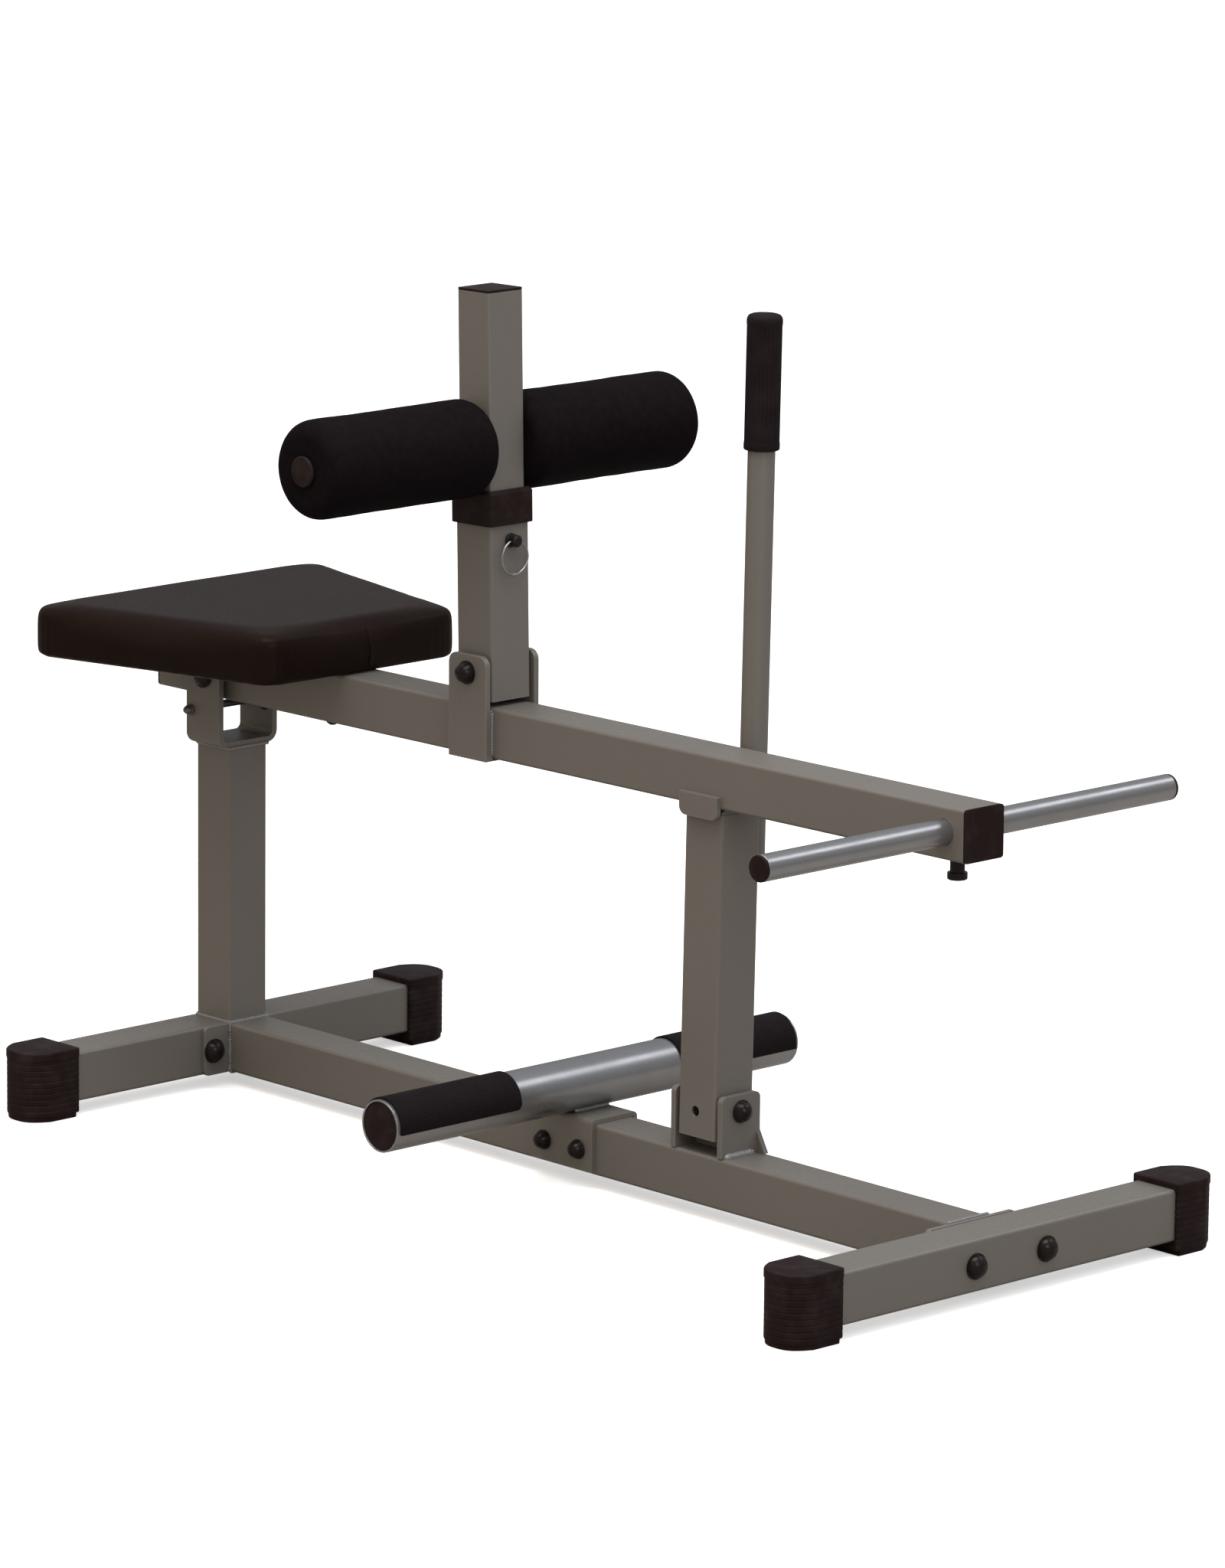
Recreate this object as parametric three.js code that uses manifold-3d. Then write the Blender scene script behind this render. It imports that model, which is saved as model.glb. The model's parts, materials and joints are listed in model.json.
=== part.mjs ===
// Seated calf-raise bench: a bolted base of square tube, a lever with a seat and foam thigh
// rollers, a swing-out support post with a hand lever, and a horn for weight plates.
// Millimetres, +Z up, +X from the seat towards the weight horn, +Y to the user's left.
// The origin is the bottom centre of the bounding box, on the floor.

import * as THREE from 'three';
import { mergeVertices } from 'three/addons/utils/BufferGeometryUtils.js';
import Module from 'manifold-3d';

const wasm = await Module();
wasm.setup();

// ---- Driving dimensions ------------------------------------------------------------------

const GAP = 0.3; // left between pieces that touch
const DEG = Math.PI / 180;

// Square frame tube.
const TUBE = 50;
const HALF = TUBE / 2;
const TUBE_WALL = 2.5;
const TUBE_CORNER = 3.5;

// Base. X is measured from the centre line of the rear stabilizer.
const REACH = 1068; // between the stabilizers' centre lines
const STABILIZER_HALF = 254;
const FLOOR_GAP = 14; // sole of the foot boots, under the tubes
const DECK = FLOOR_GAP + TUBE; // top of the base tubes
const FLANGE = { thickness: 5, halfWidth: 57, corner: 5, boltSpread: 46 };
const BOOT = { inner: 217, shoulder: 256, outer: 277.5, halfWidth: 30, top: 6, notch: 5 };

// Rear upright, yoke and the lever's pivot.
const PIVOT = new THREE.Vector3(4, 0, 417.5);
const YOKE = { halfWidth: 38, plate: 6, bend: 12, bottom: 344 };
const PIVOT_SHANK = 6;
const PIVOT_HEAD = 12.5;
const STOP = { x: -14, z: 379, shank: 4 };

// Foot bar and the saddle that bolts it to the main rail.
const BAR = { x: 523, radius: 25.4, wall: 2, half: 262 };
const SADDLE = { half: 42.5, plate: 4.5, skirt: 17, boltSpread: 24, boltZ: 37.5 };
const TAPE = { inner: 106, outer: 258, thickness: 1.8, below: 10.5 * DEG };

// Support post. It stands between two plates on the main rail and swings about their bolt.
const POST_BOLT = new THREE.Vector3(704, 0, 107);
const POST_LEAN = 0.9 * DEG; // towards +Y, within the play of its bolt
const POST_BELOW = 28; // from the bolt down to the open end
const POST_TOP = 284.3;
const POST_CAP = 5;
const SPARE_HOLE = { radius: 5.2, x: -1.5, z: -3.2 }; // from the bolt, on the right face
const BRACKET = { inner: 28.5, plate: 6, top: 123, corner: 6 };
const STOP_BLOCK = { from: 3, top: 72 };
const GUSSET = { reach: 12, height: 23, thickness: 5 };
const HANDLE = { radius: 13, wall: 2.5, from: 222, to: 743 };
const HAND_GRIP = { radius: 17, from: 620.5, to: 748 };

// Lever. X and Z are measured from the pivot, along and square to the beam.
const REST_TILT = 0.45 * DEG; // the front end rests slightly high, on the post
const BEAM = { rear: -82, front: 1042 };
const HORN = { x: 1016.5, z: 1, shift: 8, radius: 12.5, wall: 2, half: 263 };
const LOCK_BOLT = { x: 1011, neck: 15, height: 22 };
const CATCH = { x: 701.5, halfWidth: 25.5, top: -13, bottom: -35, plate: 5, corner: 8 };
const SEAT = { rear: -93, front: 201, rearHalf: 189.5, frontHalf: 127, corner: 24, top: 78 };
const BOARD = { inset: 9, thickness: 12 };
const SEAT_BOLTS = { rear: 52, front: 152 };

// Thigh post. X and Z are measured from its clamping bolt.
const THIGH_BOLT = new THREE.Vector3(386.5, 0, 57.5);
const THIGH_LEAN = 1.0 * DEG; // towards the seat
const CHEEK = { half: 26.5, inner: 28.5, plate: 6, top: 17.5, corner: 10, web: 1.5 };
const GUIDE = { bottom: -27.5, top: 170 };
const COLLAR = { bottom: 142.5, top: 176, size: 57.5 };
const SLIDE = { size: 44.4, bottom: 14, top: 365.5 };
const PIN = { z: 127, radius: 4.75, pitch: 16, positions: 7 };
const PIN_HEAD = { radius: 6, eye: 31.5, eyeRadius: 2.3, end: 37.5 };
const RING = { radius: 16.5, wire: 1.3 };
const ROLLER_BAR = { z: 217, radius: 12.5, wall: 2, half: 236 };
const ROLLER = { inner: 24.5, outer: 237, radius: 47.5, round: 16 };

const SHANK = { m8: 4, m10: 5, m12: 6 }; // radii
const BUSH = { sleeve: 9, collar: 13 };
const PLUG_DEPTH = 9; // how far a square tube's plug reaches in
const CLEAR = 0.6; // hole radius minus shank radius
const COARSE = 16; // facets round a shank
const FINE = 32; // facets round a wide turned piece

// ---- Materials ---------------------------------------------------------------------------

const finish = (color, roughness, metalness) =>
  new THREE.MeshStandardMaterial({ color, roughness, metalness, flatShading: true });

const framePaint = finish(0x8a8781, 0.42, 0.55);
const brightSteel = finish(0xb4b6b8, 0.22, 0.95);
const zincSteel = finish(0xa9aaa8, 0.35, 0.9);
const blackSteel = finish(0x2c2c2b, 0.45, 0.7);
const mouldedPlastic = finish(0x1d1818, 0.6, 0);
const boltCap = finish(0x171212, 0.35, 0);
const gripRubber = finish(0x1b1718, 0.75, 0);
const foam = finish(0x141112, 0.9, 0);
const vinyl = finish(0x221b19, 0.45, 0);
const plywood = finish(0x9a7a52, 0.8, 0);
const nylon = finish(0x2a2828, 0.5, 0);

// ---- Solids ------------------------------------------------------------------------------

function toSolid(geometry) {
  const bare = geometry.clone();
  bare.deleteAttribute('normal');
  bare.deleteAttribute('uv');
  const merged = mergeVertices(bare, 1e-4);
  const vertProperties = new Float32Array(merged.attributes.position.array);
  const triVerts = new Uint32Array(merged.index.array);
  return new wasm.Manifold(new wasm.Mesh({ numProp: 3, vertProperties, triVerts }));
}

function toGeometry(solid) {
  const mesh = solid.getMesh();
  const geometry = new THREE.BufferGeometry();
  geometry.setAttribute('position', new THREE.BufferAttribute(mesh.vertProperties, 3));
  geometry.setIndex(new THREE.BufferAttribute(mesh.triVerts, 1));
  geometry.computeVertexNormals();
  return geometry;
}

const join = (first, ...rest) => rest.reduce((sum, next) => sum.add(next), first);
const cut = (first, ...rest) => rest.reduce((left, next) => left.subtract(next), first);

function roundedRectangle(width, height, radius, x = 0, y = 0) {
  const right = x + width / 2;
  const top = y + height / 2;
  const left = x - width / 2;
  const bottom = y - height / 2;
  const shape = new THREE.Shape();
  shape.absarc(right - radius, top - radius, radius, 0, Math.PI / 2);
  shape.absarc(left + radius, top - radius, radius, Math.PI / 2, Math.PI);
  shape.absarc(left + radius, bottom + radius, radius, Math.PI, 1.5 * Math.PI);
  shape.absarc(right - radius, bottom + radius, radius, 1.5 * Math.PI, 2 * Math.PI);
  return shape;
}

function polygon(...points) {
  return new THREE.Shape(points.map(([x, y]) => new THREE.Vector2(x, y)));
}

function box(x0, x1, y0, y1, z0, z1) {
  const geometry = new THREE.BoxGeometry(x1 - x0, y1 - y0, z1 - z0);
  return toSolid(geometry.translate((x0 + x1) / 2, (y0 + y1) / 2, (z0 + z1) / 2));
}

// A prism along an axis. The shape lies in (Y, Z) for axis x, (X, Z) for y and (X, Y) for z.
function prism(axis, shape, from, to, curveSegments = 3) {
  const options = { depth: to - from, bevelEnabled: false, curveSegments };
  const geometry = new THREE.ExtrudeGeometry(shape, options);
  if (axis === 'x') {
    const [x, y, z] = [0, 1, 2].map((i) => new THREE.Vector3().setComponent(i, 1));
    geometry.applyMatrix4(new THREE.Matrix4().makeBasis(y, z, x)).translate(from, 0, 0);
  } else if (axis === 'y') {
    geometry.rotateX(Math.PI / 2).translate(0, to, 0);
  } else {
    geometry.translate(0, 0, from);
  }
  return toSolid(geometry);
}

// A turned piece about an axis, from (radius, station) pairs that start and end on the axis.
function turned(axis, profile, facets = FINE) {
  const points = profile.map(([radius, station]) => new THREE.Vector2(radius, station));
  const geometry = new THREE.LatheGeometry(points, facets);
  if (axis === 'x') geometry.rotateZ(-Math.PI / 2);
  if (axis === 'z') geometry.rotateX(Math.PI / 2);
  return toSolid(geometry);
}

// A round bar or a drill along an axis, moved to pass through (x, y, z).
function rod(axis, radius, from, to, [x, y, z] = [0, 0, 0], facets = COARSE) {
  const geometry = new THREE.CylinderGeometry(radius, radius, to - from, facets);
  geometry.translate(0, (from + to) / 2, 0);
  if (axis === 'x') geometry.rotateZ(-Math.PI / 2);
  if (axis === 'z') geometry.rotateX(Math.PI / 2);
  return toSolid(geometry.translate(x, y, z));
}

const drill = (axis, radius, at, reach = 80) => rod(axis, radius, -reach, reach, at);

function squareTube(axis, size, corner, from, to, centre = [0, 0]) {
  const shape = roundedRectangle(size, size, corner, ...centre);
  const bore = size - 2 * TUBE_WALL;
  const inner = Math.max(corner - TUBE_WALL, 0.8);
  shape.holes.push(roundedRectangle(bore, bore, inner, ...centre));
  return prism(axis, shape, from, to);
}

function roundTube(axis, radius, wall, from, to, at = [0, 0, 0], facets = FINE) {
  const outside = rod(axis, radius, from, to, at, facets);
  return outside.subtract(rod(axis, radius - wall, from - 1, to + 1, at, facets));
}

// ---- Fasteners, drawn along +Z with the underside of the head at z = 0 --------------------

const AIM = {
  front: [0, Math.PI / 2, 0],
  right: [Math.PI / 2, 0, 0],
  left: [-Math.PI / 2, 0, 0],
  rear: [0, -Math.PI / 2, 0],
  down: [Math.PI, 0, 0],
};

function dome(radius, from, to, steps = 4) {
  const points = [];
  for (let i = 0; i <= steps; i += 1) {
    const angle = (i / steps) * (Math.PI / 2);
    points.push([radius * Math.cos(angle), from + (to - from) * Math.sin(angle)]);
  }
  points[steps][0] = 0;
  return points;
}

// A washer and a domed cap over the head, with a plain shank.
function domedBolt(shank, head, grip, height) {
  const washer = 1.6;
  return turned('z', [
    [0, -grip],
    [shank, -grip],
    [shank, 0],
    [1.12 * head, 0],
    [1.12 * head, washer],
    ...dome(head, washer, height),
  ], 20);
}

function hexPrism(acrossFlats, from, to) {
  const geometry = new THREE.CylinderGeometry(1, 1, to - from, 6);
  const radius = acrossFlats / Math.sqrt(3);
  geometry.scale(radius, 1, radius).translate(0, (from + to) / 2, 0);
  return toSolid(geometry.rotateX(Math.PI / 2));
}

// A washer, a hexagon and a domed end, bored for the shank it runs on.
function cappedNut(shank) {
  const flats = 3.1 * shank;
  const thickness = 1.6 * shank;
  const washer = turned('z', [[0, 0], [2 * shank, 0], [2 * shank, 1.5], [0, 1.5]], 20);
  const top = turned('z', [[0, 1], ...dome(0.82 * flats / 2 + 0.4, thickness, 1.75 * thickness)], 20);
  const bore = rod('z', shank + GAP, -1, 1.2 * thickness);
  return cut(join(washer, hexPrism(flats, 1, thickness), top), bore);
}

// A through-bolt with its nut run on: one solid, the nut's washer starts one grip down.
function boltWithNut(shank, head, grip, height) {
  const flats = 3.1 * shank;
  const thickness = 1.6 * shank;
  const washer = rod('z', 2 * shank, -grip - 1.5, -grip, [0, 0, 0], 20);
  const nut = hexPrism(flats, -grip - thickness, -grip - 1);
  return join(domedBolt(shank, head, grip + thickness + 2, height), washer, nut);
}

// ---- Scene graph -------------------------------------------------------------------------

const machine = new THREE.Group();

function add(parent, name, solid, material, position = [0, 0, 0], rotation = [0, 0, 0]) {
  const mesh = new THREE.Mesh(toGeometry(solid), material);
  mesh.name = name;
  mesh.position.set(...position);
  mesh.rotation.set(...rotation);
  parent.add(mesh);
}

const SIDES = [['left', 1], ['right', -1]];

// ---- Base --------------------------------------------------------------------------------

function stabilizer(x) {
  const boltHoles = SIDES.map(([, side]) =>
    drill('x', SHANK.m10 + CLEAR, [x, side * FLANGE.boltSpread, DECK - HALF], TUBE));
  const centre = [x, DECK - HALF];
  const tube = squareTube('y', TUBE, TUBE_CORNER, -STABILIZER_HALF, STABILIZER_HALF, centre);
  return cut(tube, ...boltHoles);
}

// A moulded boot over the tube's end, with a bowed outer face and a thick, notched sole.
function boot(x, side) {
  const plan = new THREE.Shape();
  plan.moveTo(x - BOOT.halfWidth, side * BOOT.inner);
  plan.lineTo(x + BOOT.halfWidth, side * BOOT.inner);
  plan.lineTo(x + BOOT.halfWidth, side * BOOT.shoulder);
  const crest = 2 * BOOT.outer - BOOT.shoulder;
  plan.quadraticCurveTo(x, side * crest, x - BOOT.halfWidth, side * BOOT.shoulder);
  const body = prism('z', plan, 0, DECK + BOOT.top, 8);
  const bore = roundedRectangle(TUBE + 2 * GAP, TUBE + 2 * GAP, TUBE_CORNER, x, DECK - HALF);
  const end = STABILIZER_HALF + GAP;
  const cavity = prism('y', bore, -end, end);
  const lip = BOOT.inner + BOOT.notch;
  const notch = box(x - 40, x + 40, -lip, lip, -1, BOOT.notch);
  return cut(body, cavity, notch);
}

function flange(from, to) {
  const shape = roundedRectangle(2 * FLANGE.halfWidth, TUBE, FLANGE.corner, 0, DECK - HALF);
  const holes = SIDES.map(([, side]) =>
    drill('x', SHANK.m10 + CLEAR, [from, side * FLANGE.boltSpread, DECK - HALF]));
  return cut(prism('x', shape, from, to), ...holes);
}

function buildBase(parent) {
  const rearFace = HALF + GAP;
  const frontFace = REACH - HALF - GAP;
  const plate = FLANGE.thickness;
  const railHoles = [-1, 1].map((end) =>
    drill('y', SHANK.m10 + CLEAR, [BAR.x + end * SADDLE.boltSpread, 0, SADDLE.boltZ]));
  const railEnds = [rearFace + plate + GAP, frontFace - plate - GAP];
  const rail = squareTube('x', TUBE, TUBE_CORNER, ...railEnds, [0, DECK - HALF]);

  add(parent, 'rear_stabilizer', stabilizer(0), framePaint);
  add(parent, 'front_stabilizer', stabilizer(REACH), framePaint);
  add(parent, 'main_rail', cut(rail, ...railHoles), framePaint);
  add(parent, 'rear_flange', flange(rearFace, rearFace + plate), framePaint);
  add(parent, 'front_flange', flange(frontFace - plate, frontFace), framePaint);
  for (const [label, side] of SIDES) {
    add(parent, `boot_rear_${label}`, boot(0, side), mouldedPlastic);
    add(parent, `boot_front_${label}`, boot(REACH, side), mouldedPlastic);
    const at = [side * FLANGE.boltSpread, DECK - HALF];
    const grip = TUBE + plate + 3 * GAP;
    const bolt = boltWithNut(SHANK.m10, 11, grip, 10);
    const rearHead = [rearFace + plate + GAP, ...at];
    const frontHead = [REACH + HALF + GAP, ...at];
    add(parent, `flange_bolt_rear_${label}`, bolt, boltCap, rearHead, AIM.front);
    add(parent, `flange_bolt_front_${label}`, bolt, boltCap, frontHead, AIM.front);
  }
}

// ---- Rear upright, yoke, pivot and stop --------------------------------------------------

// A channel bent from plate: open at the top, round-ended about the pivot.
function yoke() {
  const { halfWidth, plate, bend, bottom } = YOKE;
  const tall = 2 * (PIVOT.z + HALF - bottom);
  const outer = roundedRectangle(2 * halfWidth, tall, bend, 0, bottom + tall / 2);
  const inside = halfWidth - plate;
  const slot = roundedRectangle(2 * inside, tall, bend - plate, 0, bottom + plate + tall / 2);
  const channel = cut(
    prism('x', outer, PIVOT.x - HALF, PIVOT.x + HALF, 5),
    prism('x', slot, PIVOT.x - TUBE, PIVOT.x + TUBE, 5),
  );
  const side = new THREE.Shape();
  side.moveTo(PIVOT.x - HALF, bottom - 1);
  side.lineTo(PIVOT.x + HALF, bottom - 1);
  side.absarc(PIVOT.x, PIVOT.z, HALF, 0, Math.PI);
  const ears = prism('y', side, -TUBE, TUBE, 12);
  return cut(
    channel.intersect(ears),
    drill('y', PIVOT_SHANK + CLEAR, PIVOT.toArray()),
    drill('y', STOP.shank + CLEAR, [STOP.x, 0, STOP.z]),
  );
}

function buildUpright(parent) {
  const centre = [PIVOT.x, 0];
  const top = YOKE.bottom - GAP;
  const tube = squareTube('z', TUBE, TUBE_CORNER, DECK + GAP, top, centre);
  const outside = YOKE.halfWidth + GAP;
  const pivotGrip = 2 * outside;
  add(parent, 'rear_upright', tube, framePaint);
  add(parent, 'yoke', yoke(), framePaint);

  const pivotBolt = domedBolt(PIVOT_SHANK, PIVOT_HEAD, pivotGrip + 9, 9.5);
  add(parent, 'pivot_bolt', pivotBolt, boltCap, [PIVOT.x, -outside, PIVOT.z], AIM.right);
  add(parent, 'pivot_nut', cappedNut(PIVOT_SHANK), boltCap, [PIVOT.x, outside, PIVOT.z], AIM.left);
  const stopBolt = boltWithNut(STOP.shank, 5, pivotGrip, 9);
  add(parent, 'stop_bolt', stopBolt, zincSteel, [STOP.x, -outside, STOP.z], AIM.right);
}

// ---- Foot bar ----------------------------------------------------------------------------

function footSaddle() {
  const inside = HALF + GAP;
  const outside = inside + SADDLE.plate;
  const top = DECK + GAP + SADDLE.plate;
  const middle = (top + SADDLE.skirt) / 2;
  const tall = top - SADDLE.skirt;
  const outer = roundedRectangle(2 * outside, tall, 5, 0, middle);
  const slot = box(0, REACH, -inside, inside, 0, DECK + GAP);
  const squareSkirt = box(
    BAR.x - SADDLE.half, BAR.x + SADDLE.half, -outside, outside, SADDLE.skirt, middle);
  const hood = prism('x', outer, BAR.x - SADDLE.half, BAR.x + SADDLE.half);
  const holes = [-1, 1].map((end) =>
    drill('y', SHANK.m10 + CLEAR, [BAR.x + end * SADDLE.boltSpread, 0, SADDLE.boltZ]));
  return cut(join(hood, squareSkirt), slot, ...holes);
}

// Anti-slip tape over the upper part of the bar, at one end.
function footTape(side) {
  const inner = BAR.radius + GAP;
  const outer = inner + TAPE.thickness;
  const shape = new THREE.Shape();
  shape.absarc(0, 0, outer, -TAPE.below, Math.PI + TAPE.below);
  shape.absarc(0, 0, inner, Math.PI + TAPE.below, -TAPE.below, true);
  const ends = [side * TAPE.inner, side * TAPE.outer].sort((a, b) => a - b);
  return prism('y', shape, ...ends, 24);
}

function buildFootBar(parent) {
  const z = DECK + 2 * GAP + SADDLE.plate + BAR.radius;
  const at = [BAR.x, 0, z];
  const bar = roundTube('y', BAR.radius, BAR.wall, -BAR.half, BAR.half);
  const side = HALF + 2 * GAP + SADDLE.plate;
  add(parent, 'foot_bar_saddle', footSaddle(), framePaint);
  add(parent, 'foot_bar', bar, brightSteel, at);
  for (const [label, sign] of SIDES) {
    const radius = BAR.radius - BAR.wall - GAP;
    const plug = turned('z', [[0, -9], [radius - 1, -9], [radius, -8], [radius, -1], [0, -0.4]]);
    const end = [BAR.x, sign * BAR.half, z];
    add(parent, `foot_bar_cap_${label}`, plug, mouldedPlastic, end, AIM[label]);
    add(parent, `foot_tape_${label}`, footTape(sign), gripRubber, at);
  }
  for (const [label, end] of [['rear', -1], ['front', 1]]) {
    const bolt = boltWithNut(SHANK.m10, 8.6, 2 * side, 11);
    const head = [BAR.x + end * SADDLE.boltSpread, -side, SADDLE.boltZ];
    add(parent, `saddle_bolt_${label}`, bolt, boltCap, head, AIM.right);
  }
}

// ---- Support post ------------------------------------------------------------------------

// Two plates on the main rail, joined by a block that stops the swing, with outer gussets.
function postBracket() {
  const { x } = POST_BOLT;
  const foot = DECK + GAP;
  const { inner, plate, top, corner } = BRACKET;
  const outer = inner + plate;
  const cheek = roundedRectangle(TUBE, 2 * (top - foot), corner, 0, foot);
  const below = box(0, REACH, -TUBE, TUBE, foot - 2 * top, foot);
  const gusset = (side) => prism('y', polygon(
    [x + side * (outer - 1), foot],
    [x + side * (outer + GUSSET.reach), foot],
    [x + side * (outer - 1), foot + GUSSET.height],
  ), HALF - GUSSET.thickness, HALF);
  return cut(
    join(
      prism('x', cheek, x - outer, x - inner),
      prism('x', cheek, x + inner, x + outer),
      box(x - inner - 1, x + inner + 1, STOP_BLOCK.from, HALF, foot, STOP_BLOCK.top),
      gusset(1),
      gusset(-1),
    ),
    below,
    drill('x', SHANK.m12 + CLEAR, POST_BOLT.toArray()),
  );
}

function buildPostBracket(parent) {
  const outside = BRACKET.inner + BRACKET.plate + GAP;
  const { x, y, z } = POST_BOLT;
  const bolt = domedBolt(SHANK.m12, 10, 2 * outside + 9, 11);
  add(parent, 'post_bracket', postBracket(), framePaint);
  add(parent, 'post_bolt', bolt, boltCap, [x + outside, y, z], AIM.front);
  add(parent, 'post_nut', cappedNut(SHANK.m12), boltCap, [x - outside, y, z], AIM.rear);
}

function buildSupport(parent) {
  const group = new THREE.Group();
  group.position.copy(POST_BOLT);
  group.rotation.x = -POST_LEAN;
  parent.add(group);

  const spareHole = rod('y', SPARE_HOLE.radius, -TUBE, 0, [SPARE_HOLE.x, 0, SPARE_HOLE.z], 24);
  const post = cut(
    squareTube('z', TUBE, TUBE_CORNER, -POST_BELOW, POST_TOP),
    drill('x', SHANK.m12 + CLEAR, [0, 0, 0]),
    spareHole,
  );
  const capFrom = POST_TOP + GAP;
  const capTo = capFrom + POST_CAP;
  const chamfer = 3;
  const edge = HALF - chamfer;
  const capSide = polygon(
    [-HALF, capFrom], [HALF, capFrom], [HALF, capTo - chamfer],
    [edge, capTo], [-edge, capTo], [-HALF, capTo - chamfer],
  );
  const handleAt = [0, HALF + GAP + HANDLE.radius, 0];
  const handle = roundTube('z', HANDLE.radius, HANDLE.wall, HANDLE.from, HANDLE.to, handleAt, 24);
  const bore = HANDLE.radius + GAP;
  const grip = cut(
    turned('z', [
      [0, HAND_GRIP.from],
      [HAND_GRIP.radius, HAND_GRIP.from],
      [HAND_GRIP.radius, HAND_GRIP.to - 4],
      [HAND_GRIP.radius - 4, HAND_GRIP.to],
      [0, HAND_GRIP.to],
    ], 24),
    rod('z', bore, HAND_GRIP.from - 1, HANDLE.to + GAP, [0, 0, 0], 24),
  );
  add(group, 'support_post', post, framePaint);
  add(group, 'post_cap_plate', prism('x', capSide, -HALF, HALF), framePaint);
  add(group, 'handle_rod', handle, framePaint);
  add(group, 'handle_grip', grip, gripRubber, handleAt);
}

// ---- Lever -------------------------------------------------------------------------------

// A plug for a square tube, drawn along +Z with the flat head on the tube's end.
function squarePlug(size, head, corner) {
  const bore = size - 2 * TUBE_WALL - 2 * GAP;
  const stem = prism('z', roundedRectangle(bore, bore, 1), -PLUG_DEPTH, 0.5);
  return join(prism('z', roundedRectangle(size, size, corner), 0, head), stem);
}

function roundPlug(radius, wall, headRadius, head) {
  const bore = radius - wall - GAP;
  return turned('z', [
    [0, -12], [bore, -12], [bore, 0], [headRadius, 0],
    [headRadius, head - 1], [headRadius - 1, head], [0, head],
  ], 24);
}

function leverBeam() {
  const tube = squareTube('x', TUBE, TUBE_CORNER, BEAM.rear, BEAM.front);
  const reach = CATCH.top - CATCH.bottom;
  const middle = (CATCH.top + CATCH.bottom) / 2;
  const outline = roundedRectangle(2 * CATCH.halfWidth, reach, CATCH.corner, CATCH.x, middle);
  const squareTop = box(
    CATCH.x - CATCH.halfWidth, CATCH.x + CATCH.halfWidth,
    -HALF - CATCH.plate, -HALF, middle, CATCH.top);
  const tab = prism('y', outline, -HALF - CATCH.plate, -HALF, 4);
  const root = box(
    CATCH.x - CATCH.halfWidth, CATCH.x + CATCH.halfWidth,
    -HALF - 1, -HALF + 1, -HALF + TUBE_CORNER, CATCH.top);
  return cut(
    join(tube, tab, squareTop, root),
    drill('y', BUSH.sleeve + CLEAR, [0, 0, 0]),
    drill('y', HORN.radius + GAP, [HORN.x, 0, HORN.z]),
    rod('z', SHANK.m10 + CLEAR, -TUBE, 0, [LOCK_BOLT.x, 0, 0]),
    drill('z', SHANK.m8 + CLEAR, [SEAT_BOLTS.rear, 0, 0]),
    drill('z', SHANK.m8 + CLEAR, [SEAT_BOLTS.front, 0, 0]),
  );
}

// A flanged bush: the sleeve sits in the beam's wall and the collar fills the yoke's gap.
function pivotBush() {
  const inside = HALF - 5;
  const seat = HALF + GAP;
  const face = YOKE.halfWidth - YOKE.plate - GAP;
  const body = turned('z', [
    [0, inside], [BUSH.sleeve, inside], [BUSH.sleeve, seat],
    [BUSH.collar, seat], [BUSH.collar, face], [0, face],
  ], 24);
  return cut(body, rod('z', PIVOT_SHANK + GAP, 0, TUBE));
}

// A channel under the beam whose two cheeks hold the thigh post.
function thighBracket() {
  const { half, inner, plate, top, corner, web } = CHEEK;
  const outer = inner + plate;
  const x = THIGH_BOLT.x;
  const head = THIGH_BOLT.z + top;
  const foot = -HALF - GAP - web;
  const outline = new THREE.Shape();
  outline.moveTo(x - half, foot);
  outline.lineTo(x + half, foot);
  outline.absarc(x + half - corner, head - corner, corner, 0, Math.PI / 2);
  outline.absarc(x - half + corner, head - corner, corner, Math.PI / 2, Math.PI);
  const cheeks = cut(
    prism('y', outline, -outer, outer, 5),
    box(0, REACH, -inner, inner, -HALF - GAP, 2 * head),
  );
  const seams = [];
  for (const side of [-1, 1]) {
    for (const end of [-1, 1]) {
      const edge = x + end * (half - 2);
      const ys = [side * (HALF + GAP), side * (inner + 1)].sort((a, b) => a - b);
      seams.push(box(edge - 2, edge + 2, ...ys, -HALF - GAP - 1, HALF - 2));
    }
  }
  const hole = drill('y', SHANK.m10 + CLEAR, [x, 0, THIGH_BOLT.z]);
  return cut(join(cheeks, ...seams), hole);
}

// A trapezoid with rounded corners, wide at the rear, moved in by an inset.
function seatOutline(inset) {
  const rear = SEAT.rear + inset;
  const front = SEAT.front - inset;
  const rearHalf = SEAT.rearHalf - inset;
  const frontHalf = SEAT.frontHalf - inset;
  const radius = SEAT.corner - inset;
  const taper = Math.atan2(rearHalf - frontHalf, front - rear);
  const rearX = rear + radius;
  const frontX = front - radius;
  const rearY = rearHalf - radius * (1 + Math.tan(taper / 2));
  const frontY = frontHalf - radius * (1 - Math.tan(taper / 2));
  const turn = Math.PI / 2;
  const shape = new THREE.Shape();
  shape.absarc(frontX, frontY, radius, 0, turn - taper);
  shape.absarc(rearX, rearY, radius, turn - taper, Math.PI);
  shape.absarc(rearX, -rearY, radius, Math.PI, 3 * turn + taper);
  shape.absarc(frontX, -frontY, radius, 3 * turn + taper, 4 * turn);
  return shape;
}

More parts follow.
